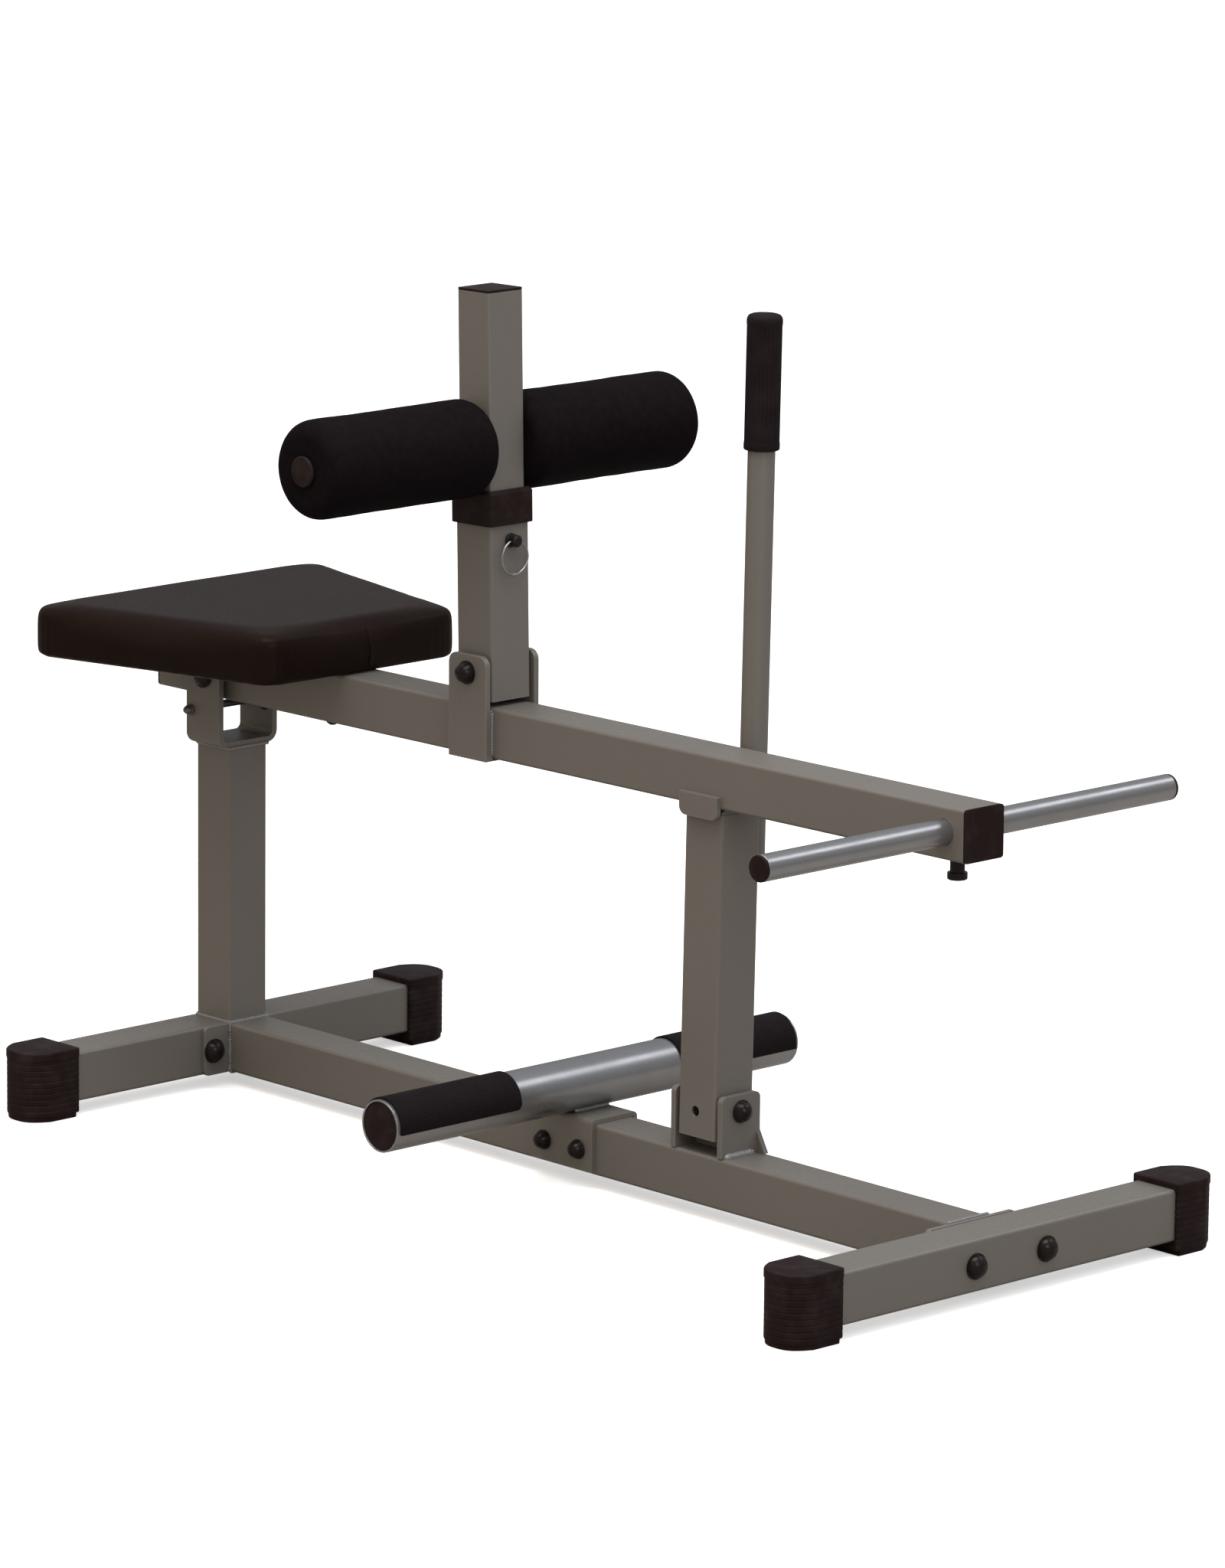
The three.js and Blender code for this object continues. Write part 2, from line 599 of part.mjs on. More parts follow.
function seatPad() {
  const bevel = 12;
  const from = HALF + 2 * GAP;
  const options = {
    depth: SEAT.top - from - 2 * bevel,
    bevelThickness: bevel,
    bevelSize: bevel,
    bevelOffset: -bevel,
    bevelSegments: 3,
    curveSegments: 5,
  };
  const geometry = new THREE.ExtrudeGeometry(seatOutline(0), options);
  const body = toSolid(geometry.translate(0, 0, from + bevel));
  const boardTop = HALF + GAP + BOARD.thickness;
  return cut(body, prism('z', seatOutline(BOARD.inset - GAP), 0, boardTop + GAP, 5));
}

function seatBoard() {
  const from = HALF + GAP;
  const top = from + BOARD.thickness;
  const holes = Object.values(SEAT_BOLTS).map((x) =>
    rod('z', SHANK.m8 + CLEAR, 0, top - 1.5, [x, 0, 0]));
  return cut(prism('z', seatOutline(BOARD.inset), from, top, 5), ...holes);
}

function buildLever(parent) {
  const group = new THREE.Group();
  group.position.copy(PIVOT);
  group.rotation.y = -REST_TILT;
  parent.add(group);

  const beamPlug = squarePlug(TUBE, 2.2, TUBE_CORNER);
  add(group, 'lever_beam', leverBeam(), framePaint);
  add(group, 'beam_cap_rear', beamPlug, mouldedPlastic, [BEAM.rear - GAP, 0, 0], AIM.rear);
  add(group, 'beam_cap_front', beamPlug, mouldedPlastic, [BEAM.front + GAP, 0, 0], AIM.front);

  const hornAt = [HORN.x, HORN.shift, HORN.z];
  const horn = roundTube('y', HORN.radius, HORN.wall, -HORN.half, HORN.half, [0, 0, 0], 24);
  const hornPlug = roundPlug(HORN.radius, HORN.wall, HORN.radius, 3);
  add(group, 'weight_horn', horn, brightSteel, hornAt);
  for (const [label, side] of SIDES) {
    const hornEnd = [HORN.x, HORN.shift + side * (HORN.half + GAP), HORN.z];
    add(group, `pivot_bush_${label}`, pivotBush(), nylon, [0, 0, 0], AIM[label]);
    add(group, `horn_cap_${label}`, hornPlug, mouldedPlastic, hornEnd, AIM[label]);
  }

  const under = HALF + GAP;
  const lockTip = under + HORN.z - HORN.radius - 2 * GAP;
  const { neck, height } = LOCK_BOLT;
  const lockBolt = turned('z', [
    [0, -lockTip], [SHANK.m10, -lockTip], [SHANK.m10, 0], [7, 0], [7, neck],
    [9.5, neck], [9.5, height - 1], [8.5, height], [0, height],
  ], 20);
  add(group, 'horn_lock_bolt', lockBolt, boltCap, [LOCK_BOLT.x, 0, -under], AIM.down);

  const seatBolt = domedBolt(SHANK.m8, 7.5, TUBE + 2 * GAP + 8, 8.5);
  add(group, 'seat_board', seatBoard(), plywood);
  add(group, 'seat_pad', seatPad(), vinyl);
  for (const [label, x] of Object.entries(SEAT_BOLTS)) {
    add(group, `seat_bolt_${label}`, seatBolt, boltCap, [x, 0, -under], AIM.down);
  }
  add(group, 'thigh_bracket', thighBracket(), framePaint);
  buildThighPost(group);
}

// ---- Thigh post --------------------------------------------------------------------------

function guideCollar() {
  const { bottom, top, size } = COLLAR;
  const bevel = 3;
  const lower = prism('z', roundedRectangle(size, size, 5), bottom, top - bevel, 4);
  const options = {
    depth: 0.01,
    bevelThickness: bevel,
    bevelSize: bevel,
    bevelOffset: -bevel,
    bevelSegments: 1,
    curveSegments: 4,
  };
  const crown = new THREE.ExtrudeGeometry(roundedRectangle(size, size, 5), options);
  const body = join(lower, toSolid(crown.translate(0, 0, top - bevel)));
  const slide = SLIDE.size + 2 * GAP;
  const guide = TUBE + 2 * GAP;
  return cut(
    body,
    prism('z', roundedRectangle(guide, guide, TUBE_CORNER), bottom - 1, GUIDE.top + GAP),
    prism('z', roundedRectangle(slide, slide, 2.5), bottom, top + 9),
  );
}

function slideTube() {
  const tube = squareTube('z', SLIDE.size, 2.5, SLIDE.bottom, SLIDE.top);
  const holes = [];
  for (let i = 0; i < PIN.positions; i += 1) {
    holes.push(drill('x', PIN.radius + CLEAR, [0, 0, PIN.z - i * PIN.pitch]));
  }
  const barHole = rod('y', ROLLER_BAR.radius + GAP, -TUBE, TUBE, [0, 0, ROLLER_BAR.z], 24);
  return cut(tube, ...holes, barHole);
}

function foamRoller() {
  const { inner, outer, radius, round } = ROLLER;
  const low = dome(round, 0, -round, 5).reverse();
  const high = dome(round, 0, round, 5);
  const rim = radius - round;
  const body = turned('z', [
    [0, inner],
    ...low.map(([r, s]) => [rim + r, inner + round + s]),
    ...high.map(([r, s]) => [rim + r, outer - round + s]),
    [0, outer],
  ]);
  return cut(body, rod('z', ROLLER_BAR.radius + GAP, inner - 1, outer + 1, [0, 0, 0], 24));
}

// A pin across both tubes with a knob, cross-drilled for the pull ring.
function heightPin() {
  const body = turned('x', [
    [0, -31],
    [PIN.radius - 2, -31],
    [PIN.radius, -28],
    [PIN.radius, HALF + 2 * GAP],
    [PIN_HEAD.radius + 1, HALF + 2 * GAP],
    [PIN_HEAD.radius + 1, HALF + 2.5],
    [PIN_HEAD.radius, HALF + 3],
    [PIN_HEAD.radius, PIN_HEAD.end - 2],
    [PIN_HEAD.radius - 2, PIN_HEAD.end],
    [0, PIN_HEAD.end],
  ], 20);
  return cut(body, rod('y', PIN_HEAD.eyeRadius, -TUBE, TUBE, [PIN_HEAD.eye, 0, 0]));
}

function buildThighPost(parent) {
  const group = new THREE.Group();
  group.position.copy(THIGH_BOLT);
  group.rotation.y = -THIGH_LEAN;
  parent.add(group);

  const guide = cut(
    squareTube('z', TUBE, TUBE_CORNER, GUIDE.bottom, GUIDE.top),
    drill('y', SHANK.m10 + CLEAR, [0, 0, 0]),
    drill('x', PIN.radius + CLEAR, [0, 0, PIN.z]),
  );
  const outside = CHEEK.inner + CHEEK.plate + GAP;
  const bolt = domedBolt(SHANK.m10, 10.2, 2 * outside + 8, 12.5);
  add(group, 'thigh_guide_tube', guide, framePaint);
  add(group, 'guide_collar', guideCollar(), mouldedPlastic);
  add(group, 'thigh_bolt', bolt, boltCap, [0, -outside, 0], AIM.right);
  add(group, 'thigh_nut', cappedNut(SHANK.m10), boltCap, [0, outside, 0], AIM.left);

  const slideCap = squarePlug(SLIDE.size, 2.2, 2.5);
  const { z, radius, wall, half } = ROLLER_BAR;
  add(group, 'slide_tube', slideTube(), framePaint);
  add(group, 'slide_tube_cap', slideCap, mouldedPlastic, [0, 0, SLIDE.top + GAP]);
  add(group, 'roller_bar', roundTube('y', radius, wall, -half, half, [0, 0, z], 24), brightSteel);
  for (const [label, side] of SIDES) {
    const plug = roundPlug(radius, wall, 15, 3.5);
    const end = [0, side * (ROLLER.outer + GAP), z];
    add(group, `roller_plug_${label}`, plug, mouldedPlastic, end, AIM[label]);
    add(group, `foam_roller_${label}`, foamRoller(), foam, [0, 0, z], AIM[label]);
  }

  const sagitta = RING.radius - Math.sqrt(RING.radius ** 2 - PIN_HEAD.radius ** 2);
  const ringAt = [PIN_HEAD.eye, 0, PIN.z + sagitta / 2 - RING.radius];
  const ring = new THREE.TorusGeometry(RING.radius, RING.wire, 8, 32).rotateY(Math.PI / 2);
  add(group, 'height_pin', heightPin(), blackSteel, [0, 0, PIN.z]);
  add(group, 'pull_ring', toSolid(ring), brightSteel, ringAt);
}

// ---- Assembly ----------------------------------------------------------------------------

buildBase(machine);
buildUpright(machine);
buildFootBar(machine);
buildPostBracket(machine);
buildSupport(machine);
buildLever(machine);

const bounds = new THREE.Box3().setFromObject(machine, true);
machine.position.x = -(bounds.min.x + bounds.max.x) / 2;

export default machine;
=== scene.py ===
"""Looks for a seated calf-raise bench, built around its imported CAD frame.

Metres, +Z up, +X from the seat towards the weight horn, +Y to the sitter's left.
"""

import json
import math

import bmesh
import bpy
from mathutils import Matrix, Vector, noise


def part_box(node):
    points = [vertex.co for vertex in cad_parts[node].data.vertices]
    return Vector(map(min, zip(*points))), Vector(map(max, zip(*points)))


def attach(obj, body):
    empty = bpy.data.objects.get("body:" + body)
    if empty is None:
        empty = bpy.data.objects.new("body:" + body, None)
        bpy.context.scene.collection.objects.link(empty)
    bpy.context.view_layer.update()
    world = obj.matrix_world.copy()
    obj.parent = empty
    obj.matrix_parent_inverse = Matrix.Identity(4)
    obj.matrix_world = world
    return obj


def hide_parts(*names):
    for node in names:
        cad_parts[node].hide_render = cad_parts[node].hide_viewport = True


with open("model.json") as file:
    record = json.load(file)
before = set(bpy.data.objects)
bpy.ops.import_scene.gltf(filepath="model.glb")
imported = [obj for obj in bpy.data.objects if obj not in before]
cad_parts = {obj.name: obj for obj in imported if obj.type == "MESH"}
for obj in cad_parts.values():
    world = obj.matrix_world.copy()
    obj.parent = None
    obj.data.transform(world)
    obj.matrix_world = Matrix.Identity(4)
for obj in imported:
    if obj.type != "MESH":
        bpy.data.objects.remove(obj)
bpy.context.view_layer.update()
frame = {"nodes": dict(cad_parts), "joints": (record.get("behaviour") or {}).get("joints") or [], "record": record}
NODES = frame["nodes"]
JOINTS = {joint["name"]: joint for joint in frame["joints"]}

MM = 0.001
SIDES = (("left", 1), ("right", -1))
ENDS = (("rear", -1), ("front", 1))


# ---- Node materials ----------------------------------------------------------------------


def feed(tree, value, socket):
    """Links one socket into another, or stores a plain value; a color gets its alpha."""
    if isinstance(value, bpy.types.NodeSocket):
        tree.links.new(value, socket)
    elif socket.type == "RGBA":
        socket.default_value = (*value, 1.0)
    else:
        socket.default_value = value


def mix_colors(tree, factor, first, second, blend="MIX"):
    made = tree.nodes.new("ShaderNodeMix")
    made.data_type = "RGBA"
    made.blend_type = blend
    feed(tree, factor, made.inputs["Factor"])
    for socket, color in zip([s for s in made.inputs if s.type == "RGBA"], (first, second)):
        feed(tree, color, socket)
    return [s for s in made.outputs if s.type == "RGBA"][0]


class Shader:
    """A Principled material, with short calls for the nodes that drive it."""

    def __init__(self, name, color, roughness, metallic=0.0, specular=0.5):
        self.material = bpy.data.materials.new(name)
        self.material.use_nodes = True
        self.material.diffuse_color = (*color, 1.0)
        self.tree = self.material.node_tree
        self.surface = self.tree.nodes["Principled BSDF"]
        self.set("Base Color", color)
        self.set("Roughness", roughness)
        self.set("Metallic", metallic)
        self.set("Specular IOR Level", specular)
        self.place = self.node("ShaderNodeTexCoord").outputs["Object"]

    def node(self, kind, **settings):
        made = self.tree.nodes.new(kind)
        for key, value in settings.items():
            setattr(made, key, value)
        return made

    def feed(self, value, socket):
        feed(self.tree, value, socket)

    def set(self, name, value):
        self.feed(value, self.surface.inputs[name])

    def stretched(self, scale):
        made = self.node("ShaderNodeMapping")
        self.feed(self.place, made.inputs["Vector"])
        made.inputs["Scale"].default_value = scale
        return made.outputs["Vector"]

    def noise(self, scale, detail=2.0, vector=None):
        made = self.node("ShaderNodeTexNoise")
        self.feed(vector or self.place, made.inputs["Vector"])
        made.inputs["Scale"].default_value = scale
        made.inputs["Detail"].default_value = detail
        return made.outputs["Fac"]

    def cells(self, scale, feature="F1", vector=None):
        made = self.node("ShaderNodeTexVoronoi", feature=feature)
        self.feed(vector or self.place, made.inputs["Vector"])
        made.inputs["Scale"].default_value = scale
        return made.outputs["Distance"]

    def span(self, value, low, high, to_low=0.0, to_high=1.0):
        """Maps low..high to to_low..to_high, clamped."""
        made = self.node("ShaderNodeMapRange")
        for key, entry in zip(
            ("Value", "From Min", "From Max", "To Min", "To Max"),
            (value, low, high, to_low, to_high),
        ):
            self.feed(entry, made.inputs[key])
        return made.outputs["Result"]

    def math(self, operation, first, second=0.0):
        made = self.node("ShaderNodeMath", operation=operation)
        self.feed(first, made.inputs[0])
        self.feed(second, made.inputs[1])
        return made.outputs[0]

    def mix(self, factor, first, second):
        return mix_colors(self.tree, factor, first, second)

    def edges(self, radius):
        """1 on sharp convex or concave edges, 0 on flat stretches."""
        rounded = self.node("ShaderNodeBevel", samples=4)
        rounded.inputs["Radius"].default_value = radius
        plain = self.node("ShaderNodeNewGeometry")
        dot = self.node("ShaderNodeVectorMath", operation="DOT_PRODUCT")
        self.feed(rounded.outputs["Normal"], dot.inputs[0])
        self.feed(plain.outputs["Normal"], dot.inputs[1])
        return self.span(dot.outputs["Value"], 0.995, 0.9)

    def patchy(self, scale, detail, smooth, rough):
        """Roughness that wanders between two values."""
        self.set("Roughness", self.span(self.noise(scale, detail), 0.3, 0.7, smooth, rough))

    def bump(self, height, strength, distance):
        made = self.node("ShaderNodeBump")
        self.feed(height, made.inputs["Height"])
        made.inputs["Strength"].default_value = strength
        made.inputs["Distance"].default_value = distance
        self.set("Normal", made.outputs["Normal"])


def scaled(color, factor):
    """A lighter or darker tone of a color."""
    return tuple(min(1.0, c * factor) for c in color)


def paint_material():
    """Satin silver-grey metallic paint: fine flake, orange peel, edges rubbed lighter."""
    base = (0.185, 0.172, 0.156)
    shader = Shader("silver_paint", base, roughness=0.42, metallic=0.3, specular=0.4)
    flake = shader.span(shader.noise(2600, 1.0), 0.35, 0.7)
    cloudy = shader.span(shader.noise(7, 3.0), 0.3, 0.7)
    flaked = shader.mix(flake, scaled(base, 0.9), scaled(base, 1.13))
    toned = shader.mix(shader.math("MULTIPLY", cloudy, 0.35), flaked, scaled(base, 0.86))
    rubbed = shader.math("MULTIPLY", shader.edges(1.3 * MM), 0.3)
    shader.set("Base Color", shader.mix(rubbed, toned, (0.42, 0.41, 0.39)))
    shader.patchy(240, 3.0, 0.37, 0.47)
    shader.bump(shader.noise(420, 2.0), 0.06, 0.25 * MM)
    return shader.material


def weld_material():
    """The same paint pooled over weld ripples: glossier, with a lighter base colour that is a painted highlight.
    """
    # The base colour is lighter than the frame paint: a painted highlight for the glints on the beads.
    shader = Shader("weld_painted_highlight", (0.26, 0.26, 0.27), roughness=0.26, metallic=0.5)
    shader.patchy(500, 2.0, 0.2, 0.38)
    shader.bump(shader.noise(900, 2.0), 0.12, 0.3 * MM)
    return shader.material


def bright_steel_material():
    """Plated bar: very faint lines round the bar and handling marks."""
    base = (0.425, 0.43, 0.445)
    shader = Shader("bright_steel", base, roughness=0.3, metallic=0.95)
    lines = shader.noise(1.0, 1.0, shader.stretched((20, 240, 20)))
    smudge = shader.span(shader.noise(22, 4.0), 0.35, 0.75)
    shader.set("Base Color", shader.mix(smudge, base, scaled(base, 0.88)))
    shader.set("Roughness", shader.span(smudge, 0.0, 1.0, 0.27, 0.34))
    shader.bump(lines, 0.003, 0.03 * MM)
    return shader.material


def zinc_material():
    """Dull plated bolts, pins and rings."""
    shader = Shader("zinc_steel", (0.2, 0.195, 0.185), roughness=0.38, metallic=0.85)
    shader.patchy(300, 3.0, 0.28, 0.45)
    shader.bump(shader.noise(1400, 2.0), 0.1, 0.1 * MM)
    return shader.material


def black_steel_material():
    """Blackened steel of the bolts."""
    shader = Shader("black_steel", (0.016, 0.0155, 0.0155), roughness=0.4, metallic=0.4, specular=0.3)
    shader.patchy(300, 3.0, 0.34, 0.5)
    shader.bump(shader.noise(1400, 2.0), 0.1, 0.1 * MM)
    return shader.material


def plastic_material():
    """Matte moulded plastic with a fine spark-eroded grain."""
    base = (0.0135, 0.0055, 0.006)
    shader = Shader("moulded_plastic", base, roughness=0.5, specular=0.14)
    dust = shader.span(shader.noise(60, 4.0), 0.45, 0.8)
    shader.set("Base Color", shader.mix(dust, base, (0.024, 0.017, 0.0165)))
    shader.patchy(900, 2.0, 0.44, 0.6)
    shader.bump(shader.noise(1700, 2.0), 0.15, 0.15 * MM)
    return shader.material


def bolt_cap_material():
    """Glossy black caps with light scuffs."""
    base = (0.009, 0.0052, 0.0052)
    shader = Shader("bolt_cap", base, roughness=0.28, specular=0.28)
    shader.set("Roughness", shader.span(shader.noise(160, 4.0), 0.35, 0.75, 0.2, 0.4))
    shader.bump(shader.noise(800, 2.0), 0.06, 0.15 * MM)
    return shader.material


def nylon_material():
    """Smooth dark nylon of collars and bushes."""
    shader = Shader("nylon", (0.022, 0.018, 0.017), roughness=0.48, specular=0.25)
    shader.patchy(700, 2.0, 0.42, 0.56)
    shader.bump(shader.noise(1500, 1.0), 0.08, 0.1 * MM)
    return shader.material


def rubber_material():
    """Matte rubber of the hand grip."""
    base = (0.0105, 0.0066, 0.0078)
    shader = Shader("grip_rubber", base, roughness=0.6, specular=0.1)
    worn = shader.span(shader.noise(45, 4.0), 0.45, 0.75)
    shader.set("Base Color", shader.mix(worn, base, (0.016, 0.011, 0.012)))
    shader.bump(shader.noise(1900, 2.0), 0.2, 0.2 * MM)
    return shader.material


def tape_material():
    """Anti-slip tape: black grit on a film, polished where shoes rub it."""
    base = (0.0062, 0.0036, 0.0046)
    shader = Shader("grit_tape", base, roughness=0.72, specular=0.12)
    grit = shader.cells(1300)
    sparkle = shader.span(grit, 0.1, 0.55)
    shader.set("Base Color", shader.mix(sparkle, (0.016, 0.012, 0.013), base))
    worn = shader.span(shader.noise(30, 3.0), 0.35, 0.7, 0.6, 0.82)
    shader.set("Roughness", worn)
    shader.bump(grit, 0.5, 0.35 * MM)
    return shader.material


def foam_material():
    """Closed-cell foam skin: matte, with open pores and shallow dimples."""
    base = (0.0044, 0.0027, 0.0037)
    shader = Shader("foam", base, roughness=0.8, specular=0.06)
    pores = shader.span(shader.cells(950), 0.0, 0.45)
    dimples = shader.noise(120, 4.0)
    shader.set("Base Color", shader.mix(shader.span(dimples, 0.3, 0.7), base, scaled(base, 1.45)))
    height = shader.math("ADD", shader.math("MULTIPLY", pores, 0.55), dimples)
    shader.bump(height, 0.4, 0.45 * MM)
    return shader.material


def vinyl_material():
    """Upholstery vinyl: pressed leather grain, duller in its valleys, with a faint mottle."""
    base = (0.0092, 0.0051, 0.0041)
    shader = Shader("vinyl", base, roughness=0.36, specular=0.08)
    shader.set("Specular Tint", (1.0, 0.84, 0.78))
    bent = shader.node("ShaderNodeTexNoise")
    shader.feed(shader.place, bent.inputs["Vector"])
    bent.inputs["Scale"].default_value = 260
    shift = shader.node("ShaderNodeVectorMath", operation="MULTIPLY_ADD")
    shader.feed(bent.outputs["Color"], shift.inputs[0])
    shift.inputs[1].default_value = (0.0016, 0.0016, 0.0016)
    shader.feed(shader.place, shift.inputs[2])
    grain = shader.cells(620, "DISTANCE_TO_EDGE", shift.outputs["Vector"])
    pebbles = shader.span(grain, 0.0, 0.22)
    tone = shader.span(shader.noise(18, 3.0), 0.3, 0.7)
    shader.set("Base Color", shader.mix(tone, base, scaled(base, 1.35)))
    shader.set("Roughness", shader.span(pebbles, 0.0, 1.0, 0.42, 0.3))
    fine = shader.math("MULTIPLY", shader.noise(2200, 2.0), 0.3)
    shader.bump(shader.math("ADD", pebbles, fine), 0.14, 0.2 * MM)
    return shader.material


def board_material():
    """Birch ply: long grain, faint knots and a sawn surface."""
    base = (0.36, 0.235, 0.13)
    shader = Shader("plywood", base, roughness=0.7)
    grain = shader.noise(1.0, 6.0, shader.stretched((9, 160, 9)))
    rings = shader.noise(14, 2.0, shader.stretched((1.0, 5.0, 1.0)))
    toned = shader.mix(shader.span(grain, 0.3, 0.7), scaled(base, 0.72), scaled(base, 1.12))
    knots = shader.math("MULTIPLY", shader.span(rings, 0.5, 0.7), 0.5)
    shader.set("Base Color", shader.mix(knots, toned, scaled(base, 0.55)))
    shader.bump(grain, 0.25, 0.3 * MM)
    return shader.material


LOOKS = {
    "frame_paint": paint_material(),
    "bright_steel": bright_steel_material(),
    "zinc_steel": zinc_material(),
    "black_steel": black_steel_material(),
    "moulded_plastic": plastic_material(),
    "bolt_cap": bolt_cap_material(),
    "nylon": nylon_material(),
    "grip_rubber": rubber_material(),
    "foam": foam_material(),
    "vinyl": vinyl_material(),
    "plywood": board_material(),
}
WELD = weld_material()
TAPE = tape_material()


def dress(mesh, look):
    """Smooth shading in a single material."""
    mesh.materials.clear()
    mesh.materials.append(look)
    mesh.polygons.foreach_set("use_smooth", [True] * len(mesh.polygons))


# ---- CAD nodes: edges and materials ------------------------------------------------------

EDGE = 0.7 * MM  # radius of a cut edge under its paint
SOFT_EDGE = {"moulded_plastic": 1.3 * MM, "bolt_cap": 0.5 * MM, "zinc_steel": 0.3 * MM}
MERGE = 0.02 * MM
FLAT_ANGLE = math.radians(0.6)  # faces closer than this to one plane become one face
SHARP_ANGLE = math.radians(40)  # edges sharper than this are rounded
NORMAL_WEIGHT = 60


def round_edges(node, width):
    """Joins the CAD triangles into flat faces and rounds the edges between them."""
    weld = node.modifiers.new("weld", "WELD")
    weld.merge_threshold = MERGE
    flat = node.modifiers.new("flat", "DECIMATE")
    flat.decimate_type = "DISSOLVE"
    flat.angle_limit = FLAT_ANGLE
    edge = node.modifiers.new("edge", "BEVEL")
    edge.width = width
    edge.segments = 2
    edge.limit_method = "ANGLE"
    edge.angle_limit = SHARP_ANGLE
    shade = node.modifiers.new("shade", "WEIGHTED_NORMAL")
    shade.weight = NORMAL_WEIGHT


def finish_cad_nodes():
    """Gives every CAD node its slot's material, smooth shading and rounded edges."""
    slots = {row["node"]: row["material_slot"] for row in frame["record"]["subparts"]}
    for name, node in NODES.items():
        slot = slots[name]
        normals = node.data.attributes.get("custom_normal")
        if normals:
            node.data.attributes.remove(normals)
        dress(node.data, LOOKS[slot])
        round_edges(node, SOFT_EDGE.get(slot, EDGE))


# ---- Mesh building -----------------------------------------------------------------------


def new_object(name, data):
    """An object linked into the scene."""
    made = bpy.data.objects.new(name, data)
    bpy.context.scene.collection.objects.link(made)
    return made


def make_piece(name, mesh, body, look, stands_for=()):
    """A new object that rides on a body and, if named, takes the place of CAD nodes."""
    piece = new_object(name, mesh)
    dress(mesh, look)
    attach(piece, body)
    if stands_for:
        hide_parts(*stands_for)
    return piece


def mesh_from(bm, name):
    """A mesh with outward normals; the bmesh is used up."""
    bmesh.ops.recalc_face_normals(bm, faces=bm.faces)
    mesh = bpy.data.meshes.new(name)
    bm.to_mesh(mesh)
    bm.free()
    return mesh


def loft(rings, loop=False):
    """Joins rings of equal length into a closed surface: capped at both ends, or looped."""
    bm = bmesh.new()
    rows = [[bm.verts.new(point) for point in ring] for ring in rings]
    count = len(rows[0])
    pairs = list(zip(rows, rows[1:]))
    if loop:
        pairs.append((rows[-1], rows[0]))
    for low, high in pairs:
        for i in range(count):
            j = (i + 1) % count
            bm.faces.new((low[i], low[j], high[j], high[i]))
    if not loop:
        for row in (rows[0], rows[-1]):
            centre = bm.verts.new(sum((v.co for v in row), Vector()) / count)
            for i in range(count):
                bm.faces.new((row[i], row[(i + 1) % count], centre))
    return bm


def basis(axis, centre):
    """A matrix that takes local +Z to an axis and the local origin to a point."""
    turn = Vector((0, 0, 1)).rotation_difference(Vector(axis)).to_matrix().to_4x4()
    return Matrix.Translation(centre) @ turn


def circle(radius, height, segments):
    """Points round local Z."""
    points = []
    for i in range(segments):
        angle = math.tau * i / segments
        points.append(Vector((radius * math.cos(angle), radius * math.sin(angle), height)))
    return points


def lathe(profile, place, segments, loop=False):
    """Turns (radius, height) pairs about local Z, then moves the result."""
    rings = []
    for radius, height in profile:
        rings.append([place @ point for point in circle(radius, height, segments)])
    return loft(rings, loop)


def arc(centre, radius, start, end, steps):
    """(radius, height) points along an arc, angles in degrees."""
    points = []
    for i in range(steps + 1):
        angle = math.radians(start + (end - start) * i / steps)
        points.append((centre[0] + radius * math.cos(angle), centre[1] + radius * math.sin(angle)))
    return points


def cut_away(piece, cutter_bm):
    """Subtracts a closed bmesh from a piece for good."""
    cutter = new_object("cutter", mesh_from(cutter_bm, "cutter"))
    tool = piece.modifiers.new("cut", "BOOLEAN")
    tool.operation = "DIFFERENCE"
    tool.solver = "EXACT"
    tool.object = cutter
    apply_modifiers(piece)
    bpy.data.objects.remove(cutter)


def apply_modifiers(piece):
    """Bakes the modifiers into the mesh."""
    graph = bpy.context.evaluated_depsgraph_get()
    graph.update()
    mesh = bpy.data.meshes.new_from_object(piece.evaluated_get(graph))
    piece.modifiers.clear()
    piece.data = mesh


def box_mesh(low, high):
    """A closed box between two corners."""
    low, high = Vector(low), Vector(high)
    bm = bmesh.new()
    bmesh.ops.create_cube(bm, size=1.0)
    bmesh.ops.scale(bm, vec=high - low, verts=bm.verts)
    bmesh.ops.translate(bm, vec=(low + high) / 2, verts=bm.verts)
    return bm


def shade_smooth(piece, look, degrees):
    """Smooth shading in one material, with edges sharper than the angle kept crisp."""
    dress(piece.data, look)
    piece.data.set_sharp_from_angle(angle=math.radians(degrees))


def subdivide(piece):
    """One level of subdivision."""
    smoother = piece.modifiers.new("smooth", "SUBSURF")
    smoother.levels = smoother.render_levels = 1


def size_of(node):
    """The low corner, high corner and middle of a CAD node."""
    low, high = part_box(node)
    return low, high, (low + high) / 2


# ---- Frame of the tilted lever -----------------------------------------------------------

REST_TILT = math.radians(0.45)
PIVOT = Vector(JOINTS["lever_lift"]["pos_m"])
LEVER = Matrix.Translation(PIVOT) @ Matrix.Rotation(-REST_TILT, 4, "Y")


# ---- Moulded boots -----------------------------------------------------------------------

BOOT_SHOULDER = 21.5 * MM  # from the crest of the bowed end back to the straight sides
BOOT_CORNER = 4 * MM
BOOT_BOW = 3.0  # exponent of the bow: a higher one makes a squarer end
BOOT_RIBS = 9
BOOT_GAP = 0.25 * MM  # round the tube
BOOT_NOTCH = 5 * MM  # height and depth of the notch under the inner end
OVERRUN = 5 * MM  # how far a cutter runs past the face it opens
RIM = 1.8  # radius of the rolled rim, in mm like the levels below


